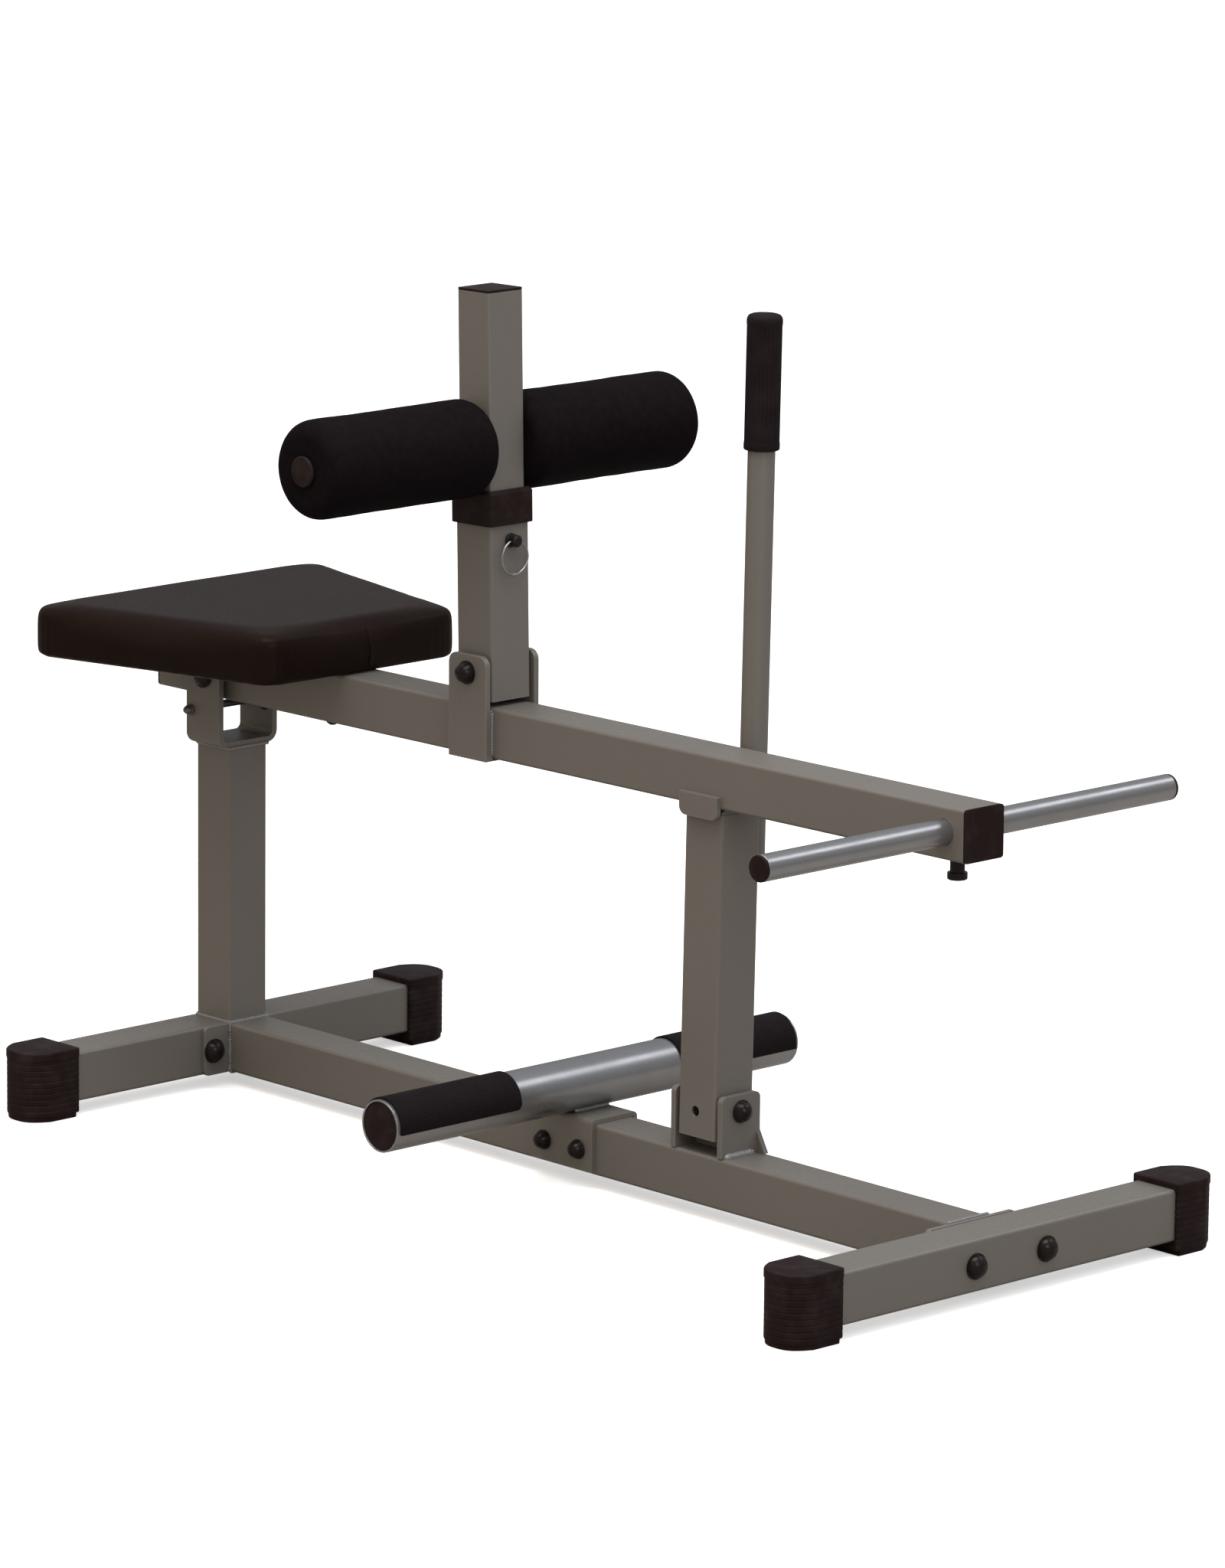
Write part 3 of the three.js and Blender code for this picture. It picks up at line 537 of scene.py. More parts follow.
def boot_outline(low, high, side, inset, depth):
    """Plan of a boot: rounded inner corners, straight sides and a bowed outer end."""
    half = (high.x - low.x) / 2
    middle = (high.x + low.x) / 2
    inner, outer = (low.y, high.y) if side > 0 else (-high.y, -low.y)
    shoulder = outer - BOOT_SHOULDER
    start = inner + BOOT_CORNER
    right = []
    for i in range(7):
        angle = math.radians(90 - 15 * i)
        x = half - BOOT_CORNER * (1 - math.cos(angle))
        right.append((x, start - BOOT_CORNER * math.sin(angle)))
    right += [(half, start + (shoulder - start) * i / 4) for i in range(1, 4)]
    bow = []
    for i in range(33):
        across = math.cos(math.pi * i / 32)
        bow.append((half * across, outer - BOOT_SHOULDER * abs(across) ** BOOT_BOW))
    left = [(-x, y) for x, y in reversed(right)]
    points = []
    for x, y in right + bow + left:
        pulled_y = max(y, inner + inset) if y < shoulder else y - inset
        points.append(Vector((middle + x * (1 - inset / half), side * pulled_y, depth)))
    return points


def boot_levels(top):
    """(height, inset) in mm, from the sole up through faint ribs to the rolled rim."""
    levels = [(0.0, 2.6), (0.8, 1.8), (4.6, 1.5), (5.4, 0.8), (7.0, 0.6)]
    first, last = 11.0, top - 12.0
    for i in range(BOOT_RIBS):
        z = first + (last - first) * i / (BOOT_RIBS - 1)
        levels += [(z - 0.9, 0.6), (z - 0.35, 1.0), (z + 0.35, 1.0), (z + 0.9, 0.6)]
    levels += [(top - 8.6, 0.6), (top - 8.0, 0.0), (top - RIM, 0.0)]
    for i in range(1, 5):
        angle = math.radians(22.5 * i)
        levels.append((top - RIM + RIM * math.sin(angle), RIM * (1 - math.cos(angle))))
    return levels


def make_boot(name, side):
    """A moulded shell, hollowed for the tube and notched under its inner end."""
    low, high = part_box(name)
    tube_low, tube_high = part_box(name.split("_")[1] + "_stabilizer")
    levels = boot_levels(high.z / MM)
    rings = [boot_outline(low, high, side, inset * MM, z * MM) for z, inset in levels]
    shell = name + "_shell"
    mesh = mesh_from(loft(rings), shell)
    look = LOOKS["moulded_plastic"]
    piece = make_piece(shell, mesh, "base", look, [name])
    inner = min(abs(low.y), abs(high.y))
    margin = Vector((BOOT_GAP, 0, BOOT_GAP))
    ys = sorted((side * (tube_high.y + BOOT_GAP), side * (inner - OVERRUN)))
    hollow_low = Vector((tube_low.x, ys[0], tube_low.z)) - margin
    hollow_high = Vector((tube_high.x, ys[1], tube_high.z)) + margin
    cut_away(piece, box_mesh(hollow_low, hollow_high))
    ys = sorted((side * (inner - 2 * OVERRUN), side * (inner + BOOT_NOTCH)))
    notch_low = (low.x - BOOT_GAP, ys[0], -BOOT_GAP)
    cut_away(piece, box_mesh(notch_low, (high.x + BOOT_GAP, ys[1], BOOT_NOTCH)))
    shade_smooth(piece, look, 35)


# ---- Weld beads --------------------------------------------------------------------------

BEAD_SIDES = 10
BEAD_RADIUS = 2.1 * MM
BEAD_RIPPLE = 2.6 * MM  # spacing of the ripples along a bead
WANDER_PER_METRE = 160.0
X_AXIS, Z_AXIS = 0, 2


def even_path(points, spacing):
    """Points along a polyline at about the given spacing."""
    path = []
    for start, end in zip(points, points[1:]):
        start, end = Vector(start), Vector(end)
        steps = max(2, round((end - start).length / spacing))
        path += [start.lerp(end, i / steps) for i in range(steps)]
    path.append(Vector(points[-1]))
    return path


def weld_bead(name, body, points, radius=BEAD_RADIUS, ripple=BEAD_RIPPLE):
    """A rippled bead along a polyline, thinner at its ends."""
    path = even_path(points, ripple / 4)
    rings = []
    travelled = 0.0
    for i, point in enumerate(path):
        ahead = path[min(i + 1, len(path) - 1)]
        behind = path[max(i - 1, 0)]
        along = (ahead - behind).normalized()
        if i:
            travelled += (point - path[i - 1]).length
        swell = 0.5 + 0.5 * math.sin(math.tau * travelled / ripple)
        wander = noise.noise(point * WANDER_PER_METRE)
        taper = min(1.0, 0.45 + min(i, len(path) - 1 - i) * 0.2)
        size = radius * taper * (0.88 + 0.16 * swell + 0.14 * wander)
        place = basis(along, point)
        rings.append([place @ spot for spot in circle(size, 0, BEAD_SIDES)])
    make_piece(name, mesh_from(loft(rings), name), body, WELD)


def square_path(low, high, axis, station):
    """The rectangle round a box, seen along an axis, closed on itself."""
    u, v = [i for i in range(3) if i != axis]
    corners = []
    for a, b in ((low, low), (high, low), (high, high), (low, high), (low, low)):
        point = [0.0, 0.0, 0.0]
        point[axis] = station
        point[u] = a[u]
        point[v] = b[v]
        corners.append(Vector(point))
    return corners


def weld_tube_ends():
    """A bead right round each end of the upright and of the main rail."""
    low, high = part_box("rear_upright")
    weld_bead("weld_upright_foot", "base", square_path(low, high, Z_AXIS, low.z))
    weld_bead("weld_yoke", "base", square_path(low, high, Z_AXIS, high.z))
    low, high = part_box("main_rail")
    weld_bead("weld_rail_rear", "base", square_path(low, high, X_AXIS, low.x))
    weld_bead("weld_rail_front", "base", square_path(low, high, X_AXIS, high.x))


def weld_post_bracket():
    """A heavy bead along the foot of each plate of the bracket."""
    plate = 34.8 * MM  # from the middle of the post to the outside of a plate
    right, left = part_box("post_bracket")[0].y + 3 * MM, 17 * MM
    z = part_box("main_rail")[1].z + 0.6 * MM
    post = JOINTS["support_post_swing"]["pos_m"][0]
    for label, side in ENDS:
        x = post + side * plate
        line = [(x, right, z), (x, left, z)]
        weld_bead(f"weld_bracket_{label}", "base", line, radius=4.6 * MM, ripple=4.4 * MM)


def weld_foot_bar():
    """A bead on each side of the bar, where it sits on its saddle."""
    beside, half = 10.5 * MM, 22 * MM
    bar = size_of("foot_bar")[2]
    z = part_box("foot_bar_saddle")[1].z + 2.2 * MM
    for label, side in ENDS:
        x = bar.x + side * beside
        weld_bead(f"weld_foot_bar_{label}", "base", [(x, -half, z), (x, half, z)], radius=2.6 * MM)


def weld_thigh_bracket():
    """A short upright bead at each corner, where the bracket meets the side of the beam."""
    beam_side = 25.6 * MM
    below, above = 22 * MM, 21 * MM
    low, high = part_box("thigh_bracket")
    for label, side in SIDES:
        y = side * beam_side
        for end, x in (("rear", low.x + 1.2 * MM), ("front", high.x - 1.2 * MM)):
            beam = PIVOT.z + (x - PIVOT.x) * math.tan(REST_TILT)
            line = [(x, y, beam - below), (x, y, beam + above)]
            weld_bead(f"weld_thigh_{label}_{end}", "lever", line, radius=1.9 * MM)


def weld_handle():
    """A bead on each side of the handle rod, up the side of the leaning post."""
    beside = 6.5 * MM
    rod = size_of("handle_rod")[2]
    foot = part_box("handle_rod")[0].z + 8 * MM
    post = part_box("support_post")[1]
    for label, side in ENDS:
        x = rod.x + side * beside
        line = [(x, post.y - 2.2 * MM, foot), (x, post.y - 0.6 * MM, post.z - 6 * MM)]
        weld_bead(f"weld_handle_{label}", "support", line, radius=2.2 * MM)


# ---- Foam rollers ------------------------------------------------------------------------

ROLLER_BORE = 12.9 * MM
ROLLER_CORNER = 16.5 * MM
ROLLER_WAIST = 0.35 * MM  # how far the middle is drawn in
ROLLER_LUMPS = 0.45 * MM
ROLLER_LIP = 2.4 * MM  # rounding where an end meets the bore
ROLLER_DISH = 0.4 * MM  # how far the flat of an end lies inside its edge
ROLLER_STATIONS = 26
ROLLER_SEGMENTS = 112


def roller_profile(radius, length):
    """(radius, height) round the foam's section: bore, rounded ends and a faint waist."""
    lip = ROLLER_LIP
    lip_centre = ROLLER_BORE + 3 * MM
    rounding = radius - ROLLER_CORNER
    flat = rounding - 8 * MM
    profile = [(ROLLER_BORE, 2 * MM), (ROLLER_BORE, length - 2 * MM)]
    profile += arc((lip_centre, length - lip), lip, 150, 90, 3)
    profile.append((flat, length - ROLLER_DISH))
    profile += arc((rounding, length - ROLLER_CORNER), ROLLER_CORNER, 90, 0, 10)
    for i in range(1, ROLLER_STATIONS):
        share = i / ROLLER_STATIONS
        height = length - ROLLER_CORNER - (length - 2 * ROLLER_CORNER) * share
        profile.append((radius - ROLLER_WAIST * math.sin(math.pi * share) ** 2, height))
    profile += arc((rounding, ROLLER_CORNER), ROLLER_CORNER, 0, -90, 10)
    profile.append((flat, ROLLER_DISH))
    profile += arc((lip_centre, lip), lip, 270, 210, 3)
    return profile


def make_roller(label, side):
    """A foam sleeve, very slightly lumpy."""
    node = f"foam_roller_{label}"
    low, high, middle = size_of(node)
    radius = (high.z - low.z) / 2
    profile = roller_profile(radius, high.y - low.y)
    place = basis((0, side, 0), (middle.x, low.y if side > 0 else high.y, middle.z))
    bm = lathe(profile, place, ROLLER_SEGMENTS, loop=True)
    for vert in bm.verts:
        out = Vector((vert.co.x - middle.x, 0, vert.co.z - middle.z))
        if out.length > radius * 0.5:
            swell = noise.noise(vert.co * 34.0) + 0.5 * noise.noise(vert.co * 90.0)
            vert.co += out.normalized() * swell * ROLLER_LUMPS
    name = f"roller_foam_{label}"
    mesh = mesh_from(bm, name)
    piece = make_piece(name, mesh, f"{label}_roller", LOOKS["foam"], [node])
    subdivide(piece)


# ---- Hand grip ---------------------------------------------------------------------------

POST_LEAN = math.radians(0.9)  # the support post and its handle, towards +Y
GRIP_RADIUS = 17 * MM
GRIP_BORE = 13.3 * MM
GRIP_BORE_TOP = 123 * MM
GRIP_SEGMENTS = 168
FLUTES = 24
FLUTE_DEPTH = 0.6 * MM

# (height in mm, change of radius in mm, depth of the flutes from 0 to 1)
GRIP_BANDS = (
    (0.0, -1.0, 0), (0.5, -0.3, 0), (1.5, 0.0, 0), (6.0, 0.0, 0), (7.5, -0.2, 0.3),
    (9.5, -0.25, 1), (30, -0.25, 1), (60, -0.25, 1), (90, -0.25, 1), (115, -0.25, 1),
    (117, -0.2, 0.3), (118.5, 0.0, 0), (122, 0.0, 0), (124.6, -0.7, 0),
    (126.4, -2.2, 0), (127.3, -4.4, 0), (127.5, -6.6, 0), (126.8, -7.4, 0), (126.8, -12.5, 0),
)


def make_grip():
    """A pushed-on rubber grip: fluted body, plain collar at each end, domed top with a ring."""
    low, _, middle = size_of("handle_grip")
    up = Vector((0, math.sin(POST_LEAN), math.cos(POST_LEAN)))
    lift = GRIP_RADIUS * math.sin(POST_LEAN)
    place = basis(up, Vector((middle.x, low.y + GRIP_RADIUS, low.z + lift)))
    rings = []
    for height, change, fluting in GRIP_BANDS:
        ring = []
        for i in range(GRIP_SEGMENTS):
            angle = math.tau * i / GRIP_SEGMENTS
            wave = 0.5 + 0.5 * math.cos(FLUTES * angle)
            radius = GRIP_RADIUS + change * MM - fluting * FLUTE_DEPTH * wave ** 3
            flat = Vector((radius * math.cos(angle), radius * math.sin(angle), height * MM))
            ring.append(place @ flat)
        rings.append(ring)
    mesh = mesh_from(loft(rings), "grip_sleeve")
    look = LOOKS["grip_rubber"]
    piece = make_piece("grip_sleeve", mesh, "support", look, ["handle_grip"])
    cut_away(piece, lathe([(GRIP_BORE, -OVERRUN), (GRIP_BORE, GRIP_BORE_TOP)], place, 48))
    shade_smooth(piece, look, 40)


# ---- Foot tape ---------------------------------------------------------------------------

TAPE_LIFT = 0.12 * MM  # the gap under the tape, and the depth of its faint ripples
TAPE_THICKNESS = 1.7 * MM
TAPE_BELOW = math.radians(10.5)  # how far it wraps below the bar's middle
TAPE_CORNER = 5 * MM
TAPE_ACROSS, TAPE_ALONG = 72, 90  # faces round the bar and along it


def tape_trim(y):
    """How much a rounded corner takes off each lower edge, at a distance from the inner end."""
    if y >= TAPE_CORNER:
        return 0.0
    return TAPE_CORNER - math.sqrt(max(0.0, TAPE_CORNER ** 2 - (TAPE_CORNER - y) ** 2))


def tape_sheet(bm, radius, outer, ripple, place, length):
    """A grid of vertices at one radius of the tape; place maps (x, y, z) into the scene."""
    grid = []
    for i in range(TAPE_ALONG + 1):
        y = length * i / TAPE_ALONG
        trim = tape_trim(y)
        used = (math.pi + 2 * TAPE_BELOW) * outer - 2 * trim
        row = []
        for k in range(TAPE_ACROSS + 1):
            angle = (trim + used * k / TAPE_ACROSS) / outer - TAPE_BELOW
            r = radius + ripple * noise.noise(Vector((y * 60, angle * 3, 0)))
            row.append(bm.verts.new(place(r * math.cos(angle), y, r * math.sin(angle))))
        grid.append(row)
    return grid


def make_tape(label, side):
    """Grit tape wrapped over the bar, with the corners of its inner end cut round."""
    node = f"foot_tape_{label}"
    low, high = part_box(node)
    bar_low, bar_high, bar = size_of("foot_bar")
    inner = (bar_high.x - bar_low.x) / 2 + TAPE_LIFT
    outer = inner + TAPE_THICKNESS
    length = high.y - low.y
    start = low.y if side > 0 else high.y

    def place(x, y, z):
        return bar.x + x, start + side * y, bar.z + z

    bm = bmesh.new()
    inside = tape_sheet(bm, inner, outer, 0.0, place, length)
    outside = tape_sheet(bm, outer, outer, TAPE_LIFT, place, length)
    for grid in (inside, outside):
        for i in range(TAPE_ALONG):
            for k in range(TAPE_ACROSS):
                bm.faces.new((grid[i][k], grid[i + 1][k], grid[i + 1][k + 1], grid[i][k + 1]))
    for i in range(TAPE_ALONG):
        for k in (0, TAPE_ACROSS):
            bm.faces.new((inside[i][k], inside[i + 1][k], outside[i + 1][k], outside[i][k]))
    for k in range(TAPE_ACROSS):
        for i in (0, TAPE_ALONG):
            bm.faces.new((inside[i][k], inside[i][k + 1], outside[i][k + 1], outside[i][k]))
    name = f"grit_tape_{label}"
    piece = make_piece(name, mesh_from(bm, name), "base", TAPE, [node])
    shade_smooth(piece, TAPE, 40)


# ---- Seat cushion ------------------------------------------------------------------------

# In the lever's frame: x forward of the pivot, half widths, heights above the pivot.
SEAT_REAR, SEAT_FRONT = -93 * MM, 201 * MM
SEAT_REAR_HALF, SEAT_FRONT_HALF = 189.5 * MM, 127 * MM
SEAT_CORNER = 24 * MM
SEAT_BOTTOM, SEAT_TOP = 25.6 * MM, 78 * MM
BOARD_INSET = 9 * MM
BOARD_TOP = 37.3 * MM
BOARD_GAP = 0.4 * MM
BLANK_INSET = 1.2 * MM  # how much smaller the cushion starts, before it is inflated
BLANK_DROP = 2.5 * MM  # and how much lower
BLANK_RIM = 10 * MM
TO_LEVER = LEVER.inverted()

VOXEL = 4.5 * MM  # the cloth's mesh
CLOTH_FRAMES = 14
MOST_SWELL = 3.5 * MM  # the furthest a point may move
CLOTH = {
    "quality": 6,
    "mass": 0.35,
    "tension_stiffness": 18,
    "compression_stiffness": 14,
    "shear_stiffness": 8,
    "bending_stiffness": 1.2,
    "use_pressure": True,
    "uniform_pressure_force": 1.6,
    "vertex_group_mass": "pinned",
}

FOLDS = 17
FOLD_DEPTH = 0.22 * MM
FOLD_REACH = 60 * MM
FOLD_CREST = 24 * MM  # how far from a corner's centre the folds are deepest
FOLD_WIDTH = 11 * MM
FOLD_CENTRES = (
    (SEAT_FRONT - 22 * MM, SEAT_FRONT_HALF - 22 * MM),
    (SEAT_REAR + 24 * MM, SEAT_REAR_HALF - 26 * MM),
)

SEAM_Y = 4 * MM
SEAM_DEPTH, SEAM_WIDTH = 1.5 * MM, 0.8 * MM
RIDGE_HEIGHT, RIDGE_WIDTH = 0.45 * MM, 1.3 * MM
RIDGE_AWAY = 2.4 * MM  # from the seam out to the crest of the ridge beside it
SEAM_LOOPS = (-3.2, -1.6, -0.7, 0.0, 0.7, 1.6, 3.2)  # mm to each side of the seam


def seat_outline(inset, steps=10):
    """The seat's plan in the lever's frame: a trapezoid with rounded corners."""
    rear, front = SEAT_REAR + inset, SEAT_FRONT - inset
    rear_half, front_half = SEAT_REAR_HALF - inset, SEAT_FRONT_HALF - inset
    radius = max(SEAT_CORNER - inset, 4 * MM)
    taper = math.atan2(rear_half - front_half, front - rear)
    quarter = math.pi / 2
    rear_y = rear_half - radius * (1 + math.tan(taper / 2))
    front_y = front_half - radius * (1 - math.tan(taper / 2))
    corners = (
        (front - radius, front_y, 0, quarter - taper),
        (rear + radius, rear_y, quarter - taper, math.pi),
        (rear + radius, -rear_y, math.pi, 3 * quarter + taper),
        (front - radius, -front_y, 3 * quarter + taper, 4 * quarter),
    )
    points = []
    for x, y, start, end in corners:
        for i in range(steps + 1):
            angle = start + (end - start) * i / steps
            points.append((x + radius * math.cos(angle), y + radius * math.sin(angle)))
    return points


def seat_ring(inset, z):
    """The outline at a height above the pivot, moved onto the lever."""
    return [LEVER @ Vector((x, y, z)) for x, y in seat_outline(inset)]


def seat_blank():
    """The cushion before it is inflated: a little small, with a rounded top rim."""
    shoulder = SEAT_TOP - BLANK_DROP - BLANK_RIM
    levels = [
        (SEAT_BOTTOM, BLANK_INSET + 3 * MM),
        (SEAT_BOTTOM + 1.5 * MM, BLANK_INSET + 1 * MM),
        (SEAT_BOTTOM + 4 * MM, BLANK_INSET),
        (shoulder, BLANK_INSET),
    ]
    for i in range(1, 7):
        angle = math.radians(15 * i)
        inset = BLANK_INSET + BLANK_RIM * (1 - math.cos(angle))
        levels.append((shoulder + BLANK_RIM * math.sin(angle), inset))
    return loft([seat_ring(inset, z) for z, inset in levels])


def ramp(value, low, high):
    """0 below low, 1 above high; low may be the larger of the two."""
    return min(1.0, max(0.0, (value - low) / (high - low)))


def bell(distance, width):
    """1 at no distance, fading smoothly on both sides."""
    return math.exp(-((distance / width) ** 2))


def pin_lower_edge(piece):
    """The cover is stapled down, so its lower edge stays put."""
    group = piece.vertex_groups.new(name="pinned")
    for vert in piece.data.vertices:
        weight = ramp((TO_LEVER @ vert.co).z, SEAT_BOTTOM + 6 * MM, SEAT_BOTTOM + 2 * MM)
        if weight > 0:
            group.add([vert.index], weight, "REPLACE")


def inflate(piece):
    """Remeshes the blank, swells it as cloth under pressure and caps how far a point moves."""
    remesh = piece.modifiers.new("remesh", "REMESH")
    remesh.mode = "VOXEL"
    remesh.voxel_size = VOXEL
    apply_modifiers(piece)
    rest = [vert.co.copy() for vert in piece.data.vertices]
    pin_lower_edge(piece)
    cloth = piece.modifiers.new("cloth", "CLOTH")
    for name, value in CLOTH.items():
        setattr(cloth.settings, name, value)
    cloth.settings.effector_weights.gravity = 0.0
    cloth.collision_settings.use_collision = False
    cloth.collision_settings.use_self_collision = False
    cloth.point_cache.frame_start = 1
    cloth.point_cache.frame_end = CLOTH_FRAMES
    scene = bpy.context.scene
    for step in range(1, CLOTH_FRAMES + 1):
        scene.frame_set(step)
    apply_modifiers(piece)
    scene.frame_set(1)
    for vert, start in zip(piece.data.vertices, rest):
        move = vert.co - start
        if move.length > MOST_SWELL:
            vert.co = start + move.normalized() * MOST_SWELL
    piece.vertex_groups.clear()


def relax(piece):
    """Evens out the remeshed surface, then presses the underside flat."""
    smooth = piece.modifiers.new("relax", "SMOOTH")
    smooth.factor = 0.5
    smooth.iterations = 4
    subdivide(piece)
    apply_modifiers(piece)
    for vert in piece.data.vertices:
        local = TO_LEVER @ vert.co
        if local.z < SEAT_BOTTOM:
            vert.co = LEVER @ Vector((local.x, local.y, SEAT_BOTTOM))


def crease_corners(piece):
    """Shallow folds that fan out from each corner, where vinyl gathers over the rim."""
    turn = LEVER.to_3x3()
    corners = []
    for x, y in FOLD_CENTRES:
        corners += [Vector((x, y, 0)), Vector((x, -y, 0))]
    for vert in piece.data.vertices:
        local = TO_LEVER @ vert.co
        if local.z < SEAT_BOTTOM + 6 * MM:
            continue
        for corner in corners:
            out = Vector((local.x - corner.x, local.y - corner.y, 0))
            if out.length > FOLD_REACH:
                continue
            angle = math.atan2(out.y, out.x)
            fold = math.sin(FOLDS * angle + 6 * noise.noise(corner * 50))
            fade = bell(out.length - FOLD_CREST, FOLD_WIDTH)
            fade *= ramp(local.z, SEAT_TOP + 2 * MM, SEAT_TOP - 28 * MM)
            vert.co -= turn @ out.normalized() * fold * fade * FOLD_DEPTH


def cut_seam_loops(bm, front):
    """Fine edge loops beside the seam, so that it can be pulled in sharply."""
    for offset in SEAM_LOOPS:
        faces = []
        for face in bm.faces:
            centre = TO_LEVER @ face.calc_center_median()
            beside = abs(centre.y - SEAM_Y) < 9 * MM
            if centre.x > front and beside and centre.z > SEAT_BOTTOM + 2 * MM:
                faces.append(face)
        edges = dict.fromkeys(edge for face in faces for edge in face.edges)
        verts = dict.fromkeys(vert for face in faces for vert in face.verts)
        point = LEVER @ Vector((0, SEAM_Y + offset * MM, 0))
        cut = list(verts) + list(edges) + faces
        bmesh.ops.bisect_plane(bm, geom=cut, plane_co=point, plane_no=(0, 1, 0))


def sew_seam(piece):
    """A vertical sewn joint on the front face: a groove between two soft ridges."""
    bm = bmesh.new()
    bm.from_mesh(piece.data)
    front = SEAT_FRONT - 26 * MM
    cut_seam_loops(bm, front)
    for vert in bm.verts:
        local = TO_LEVER @ vert.co
        away = abs(local.y - SEAM_Y)
        if local.x < front or away > 5 * MM:
            continue
        groove = SEAM_DEPTH * bell(away, SEAM_WIDTH)
        groove -= RIDGE_HEIGHT * bell(away - RIDGE_AWAY, RIDGE_WIDTH)
        fade = ramp(local.z, SEAT_TOP - 6 * MM, SEAT_TOP - 16 * MM)
        fade *= ramp(local.z, SEAT_BOTTOM + 1 * MM, SEAT_BOTTOM + 5 * MM)
        vert.co.x -= groove * fade
    bm.to_mesh(piece.data)
    bm.free()


def make_seat():
    """A stuffed vinyl cushion, hollowed underneath for its board."""
    look = LOOKS["vinyl"]
    mesh = mesh_from(seat_blank(), "seat_cushion")
    piece = make_piece("seat_cushion", mesh, "lever", look, ["seat_pad"])
    inflate(piece)
    relax(piece)
    crease_corners(piece)
    sew_seam(piece)
    inset = BOARD_INSET - BOARD_GAP
    ends = (SEAT_BOTTOM - 9 * MM, BOARD_TOP + BOARD_GAP)
    cut_away(piece, loft([seat_ring(inset, z) for z in ends]))
    shade_smooth(piece, look, 60)


# ---- Stage -------------------------------------------------------------------------------

MACHINE = Vector((0, 0, 0.4))  # what the lights are aimed at
FLOOR_SIZE = 30.0

# name, place, (width, height), power in watts, color
LIGHTS = (
    ("overhead", (0.3, -0.6, 3.2), (2.6, 2.0), 60, (1.0, 0.99, 0.97)),
    ("front", (3.4, -1.2, 1.9), (1.4, 1.8), 20, (0.8, 0.92, 1.0)),
    ("strip", (1.2, 2.1, 2.5), (1.8, 0.6), 7, (0.97, 0.98, 1.0)),
)


def camera_ray_mix(tree, seen, lighting):
    """A color that is one thing to the camera and another to the light in the scene."""
    path = tree.nodes.new("ShaderNodeLightPath")
    return mix_colors(tree, path.outputs["Is Camera Ray"], lighting, seen)


def scaled_and_moved(tree, value, scale, shift):
    """The value times the scale, plus the shift."""
    made = tree.nodes.new("ShaderNodeMath")
    made.operation = "MULTIPLY_ADD"
    tree.links.new(value, made.inputs[0])
    made.inputs[1].default_value = scale
    made.inputs[2].default_value = shift
    return made.outputs[0]


def color_ramp(tree, value, stops):
    """A ramp between two (position, color) stops."""
    made = tree.nodes.new("ShaderNodeValToRGB")
    tree.links.new(value, made.inputs["Fac"])
    for element, (position, color) in zip(made.color_ramp.elements, stops):
        element.position = position
        element.color = (*color, 1)
    return made.outputs["Color"]


def make_world():
    """Soft studio surround: bright overhead, warm from the machine's right, dim in reflections."""
    world = bpy.data.worlds.new("studio")
    bpy.context.scene.world = world
    world.use_nodes = True
    tree = world.node_tree
    background = tree.nodes["Background"]
    split = tree.nodes.new("ShaderNodeSeparateXYZ")
    place = tree.nodes.new("ShaderNodeTexCoord")
    tree.links.new(place.outputs["Generated"], split.inputs["Vector"])
    upward = scaled_and_moved(tree, split.outputs["Z"], 1.0, 0.0)
    leftward = scaled_and_moved(tree, split.outputs["Y"], 0.5, 0.5)
    height = color_ramp(tree, upward, ((0.0, (0.62, 0.58, 0.54)), (0.8, (1.2, 1.2, 1.2))))
    warmth = color_ramp(tree, leftward, ((0.25, (1.12, 1.0, 0.88)), (0.55, (0.92, 0.95, 1.0))))
    lighting = mix_colors(tree, 1.0, height, warmth, "MULTIPLY")
    tree.links.new(camera_ray_mix(tree, (1.0, 1.0, 1.0), lighting), background.inputs["Color"])
    path = tree.nodes.new("ShaderNodeLightPath")
    strength = scaled_and_moved(tree, path.outputs["Is Glossy Ray"], -0.62, 1.0)
    tree.links.new(strength, background.inputs["Strength"])


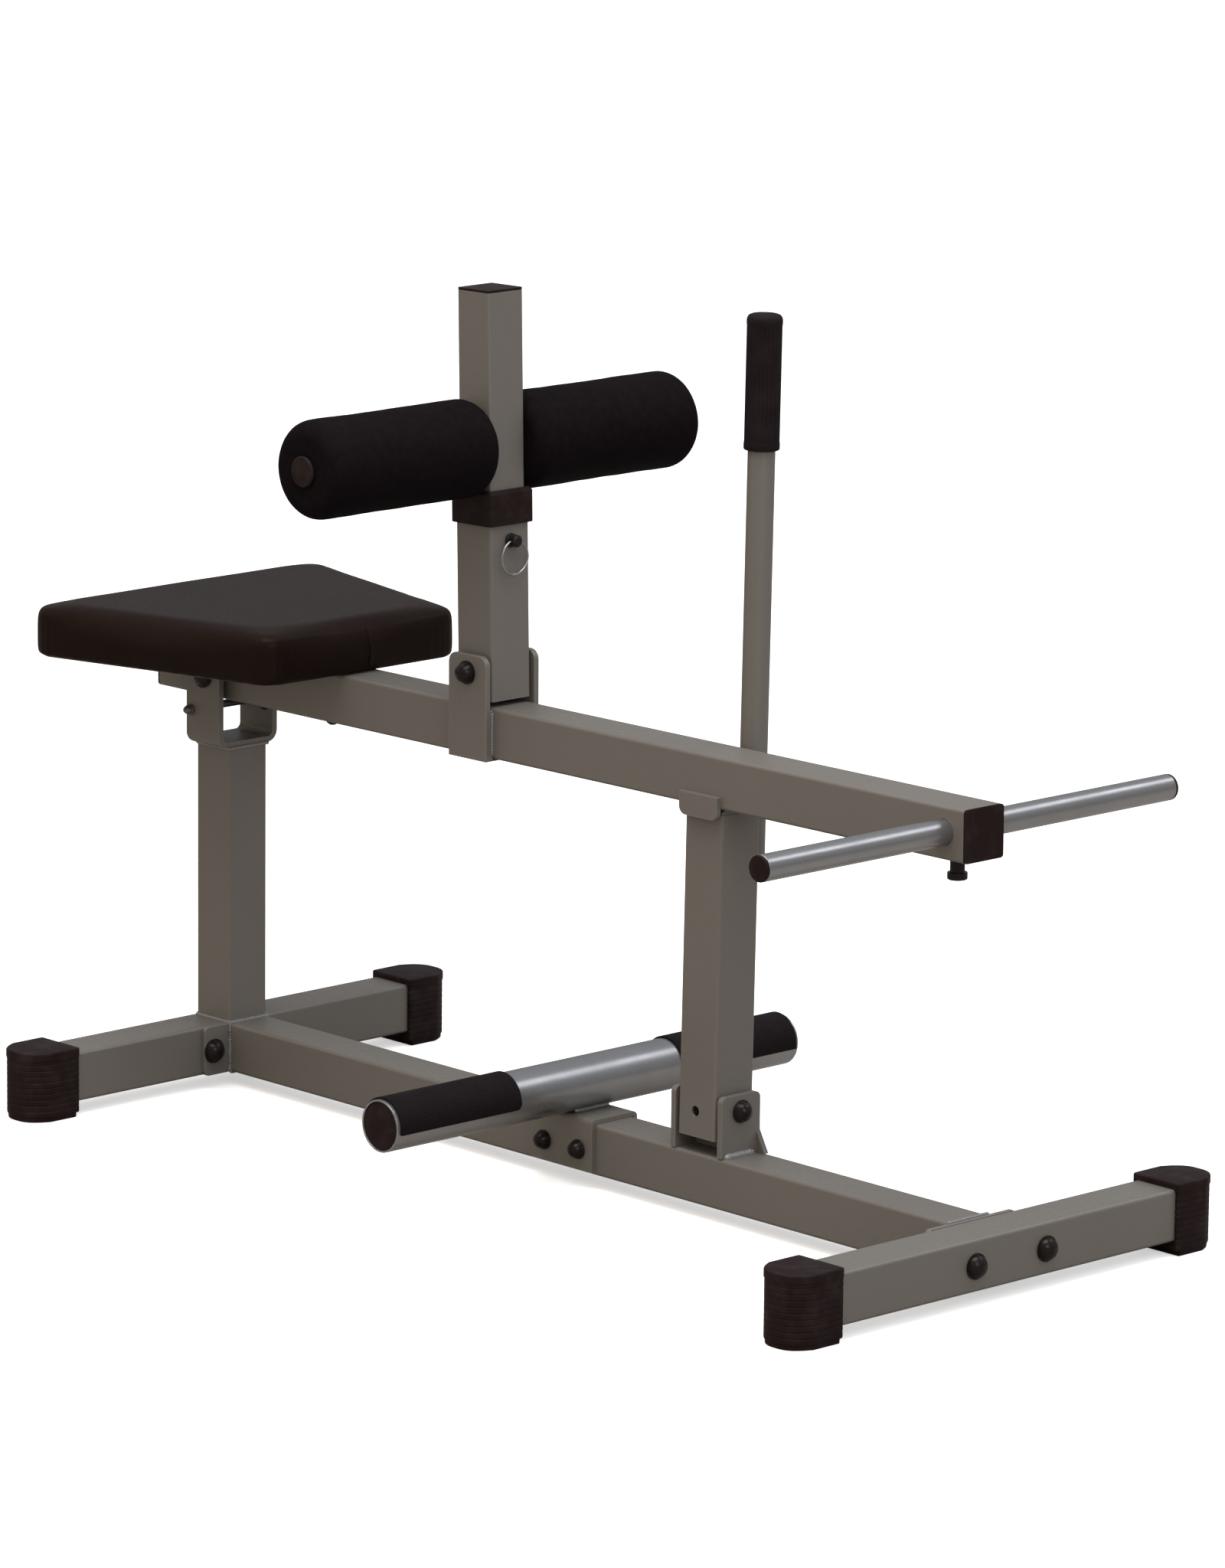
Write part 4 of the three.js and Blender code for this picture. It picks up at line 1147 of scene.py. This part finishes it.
def make_floor():
    """A floor that the camera sees as white, and that throws little light back up."""
    bm = bmesh.new()
    bmesh.ops.create_grid(bm, x_segments=1, y_segments=1, size=FLOOR_SIZE)
    floor = new_object("floor", mesh_from(bm, "floor"))
    shader = Shader("pale_floor", (0.9, 0.9, 0.9), roughness=0.9, specular=0.1)
    shader.set("Base Color", camera_ray_mix(shader.tree, (0.95, 0.95, 0.95), (0.26, 0.24, 0.22)))
    shader.set("Emission Color", camera_ray_mix(shader.tree, (0.5, 0.5, 0.5), (0.0, 0.0, 0.0)))
    shader.set("Emission Strength", 1.0)
    floor.data.materials.append(shader.material)


def area_light(name, place, size, power, color):
    """A rectangular lamp that faces the machine."""
    data = bpy.data.lights.new(name, "AREA")
    data.shape = "RECTANGLE"
    data.size, data.size_y = size
    data.energy = power
    data.color = color
    light = new_object(name, data)
    light.location = place
    light.rotation_euler = (MACHINE - Vector(place)).to_track_quat("-Z", "Y").to_euler()


def make_camera():
    """A long lens from the front right, slightly above, as in a catalogue picture."""
    azimuth, pitch, roll = math.radians(46.7), math.radians(12.15), math.radians(0.607)
    distance = 7.75
    aim = Vector((0.0392, 0.011, 0.388))
    flat = math.cos(pitch)
    look = Vector((-math.sin(azimuth) * flat, math.cos(azimuth) * flat, -math.sin(pitch)))
    right = look.cross(Vector((0, 0, 1))).normalized()
    up = right.cross(look)
    side = right * math.cos(roll) + up * math.sin(roll)
    top = up * math.cos(roll) - right * math.sin(roll)
    data = bpy.data.cameras.new("camera")
    data.sensor_fit = "VERTICAL"
    data.sensor_height = 36
    data.lens = 187.5
    data.clip_end = 60
    camera = new_object("camera", data)
    turn = Matrix((side, top, -look)).transposed().to_4x4()
    camera.matrix_world = Matrix.Translation(aim - look * distance) @ turn
    bpy.context.scene.camera = camera


def make_stage():
    """Studio, floor, lamps and camera."""
    make_world()
    make_floor()
    for light in LIGHTS:
        area_light(*light)
    make_camera()
    bpy.context.scene.view_settings.view_transform = "Standard"


# ---- Build -------------------------------------------------------------------------------

finish_cad_nodes()
for end, _ in ENDS:
    for side_name, sign in SIDES:
        make_boot(f"boot_{end}_{side_name}", sign)
for side_name, sign in SIDES:
    make_roller(side_name, sign)
    make_tape(side_name, sign)
make_grip()
weld_tube_ends()
weld_post_bracket()
weld_foot_bar()
weld_thigh_bracket()
weld_handle()
make_seat()
make_stage()
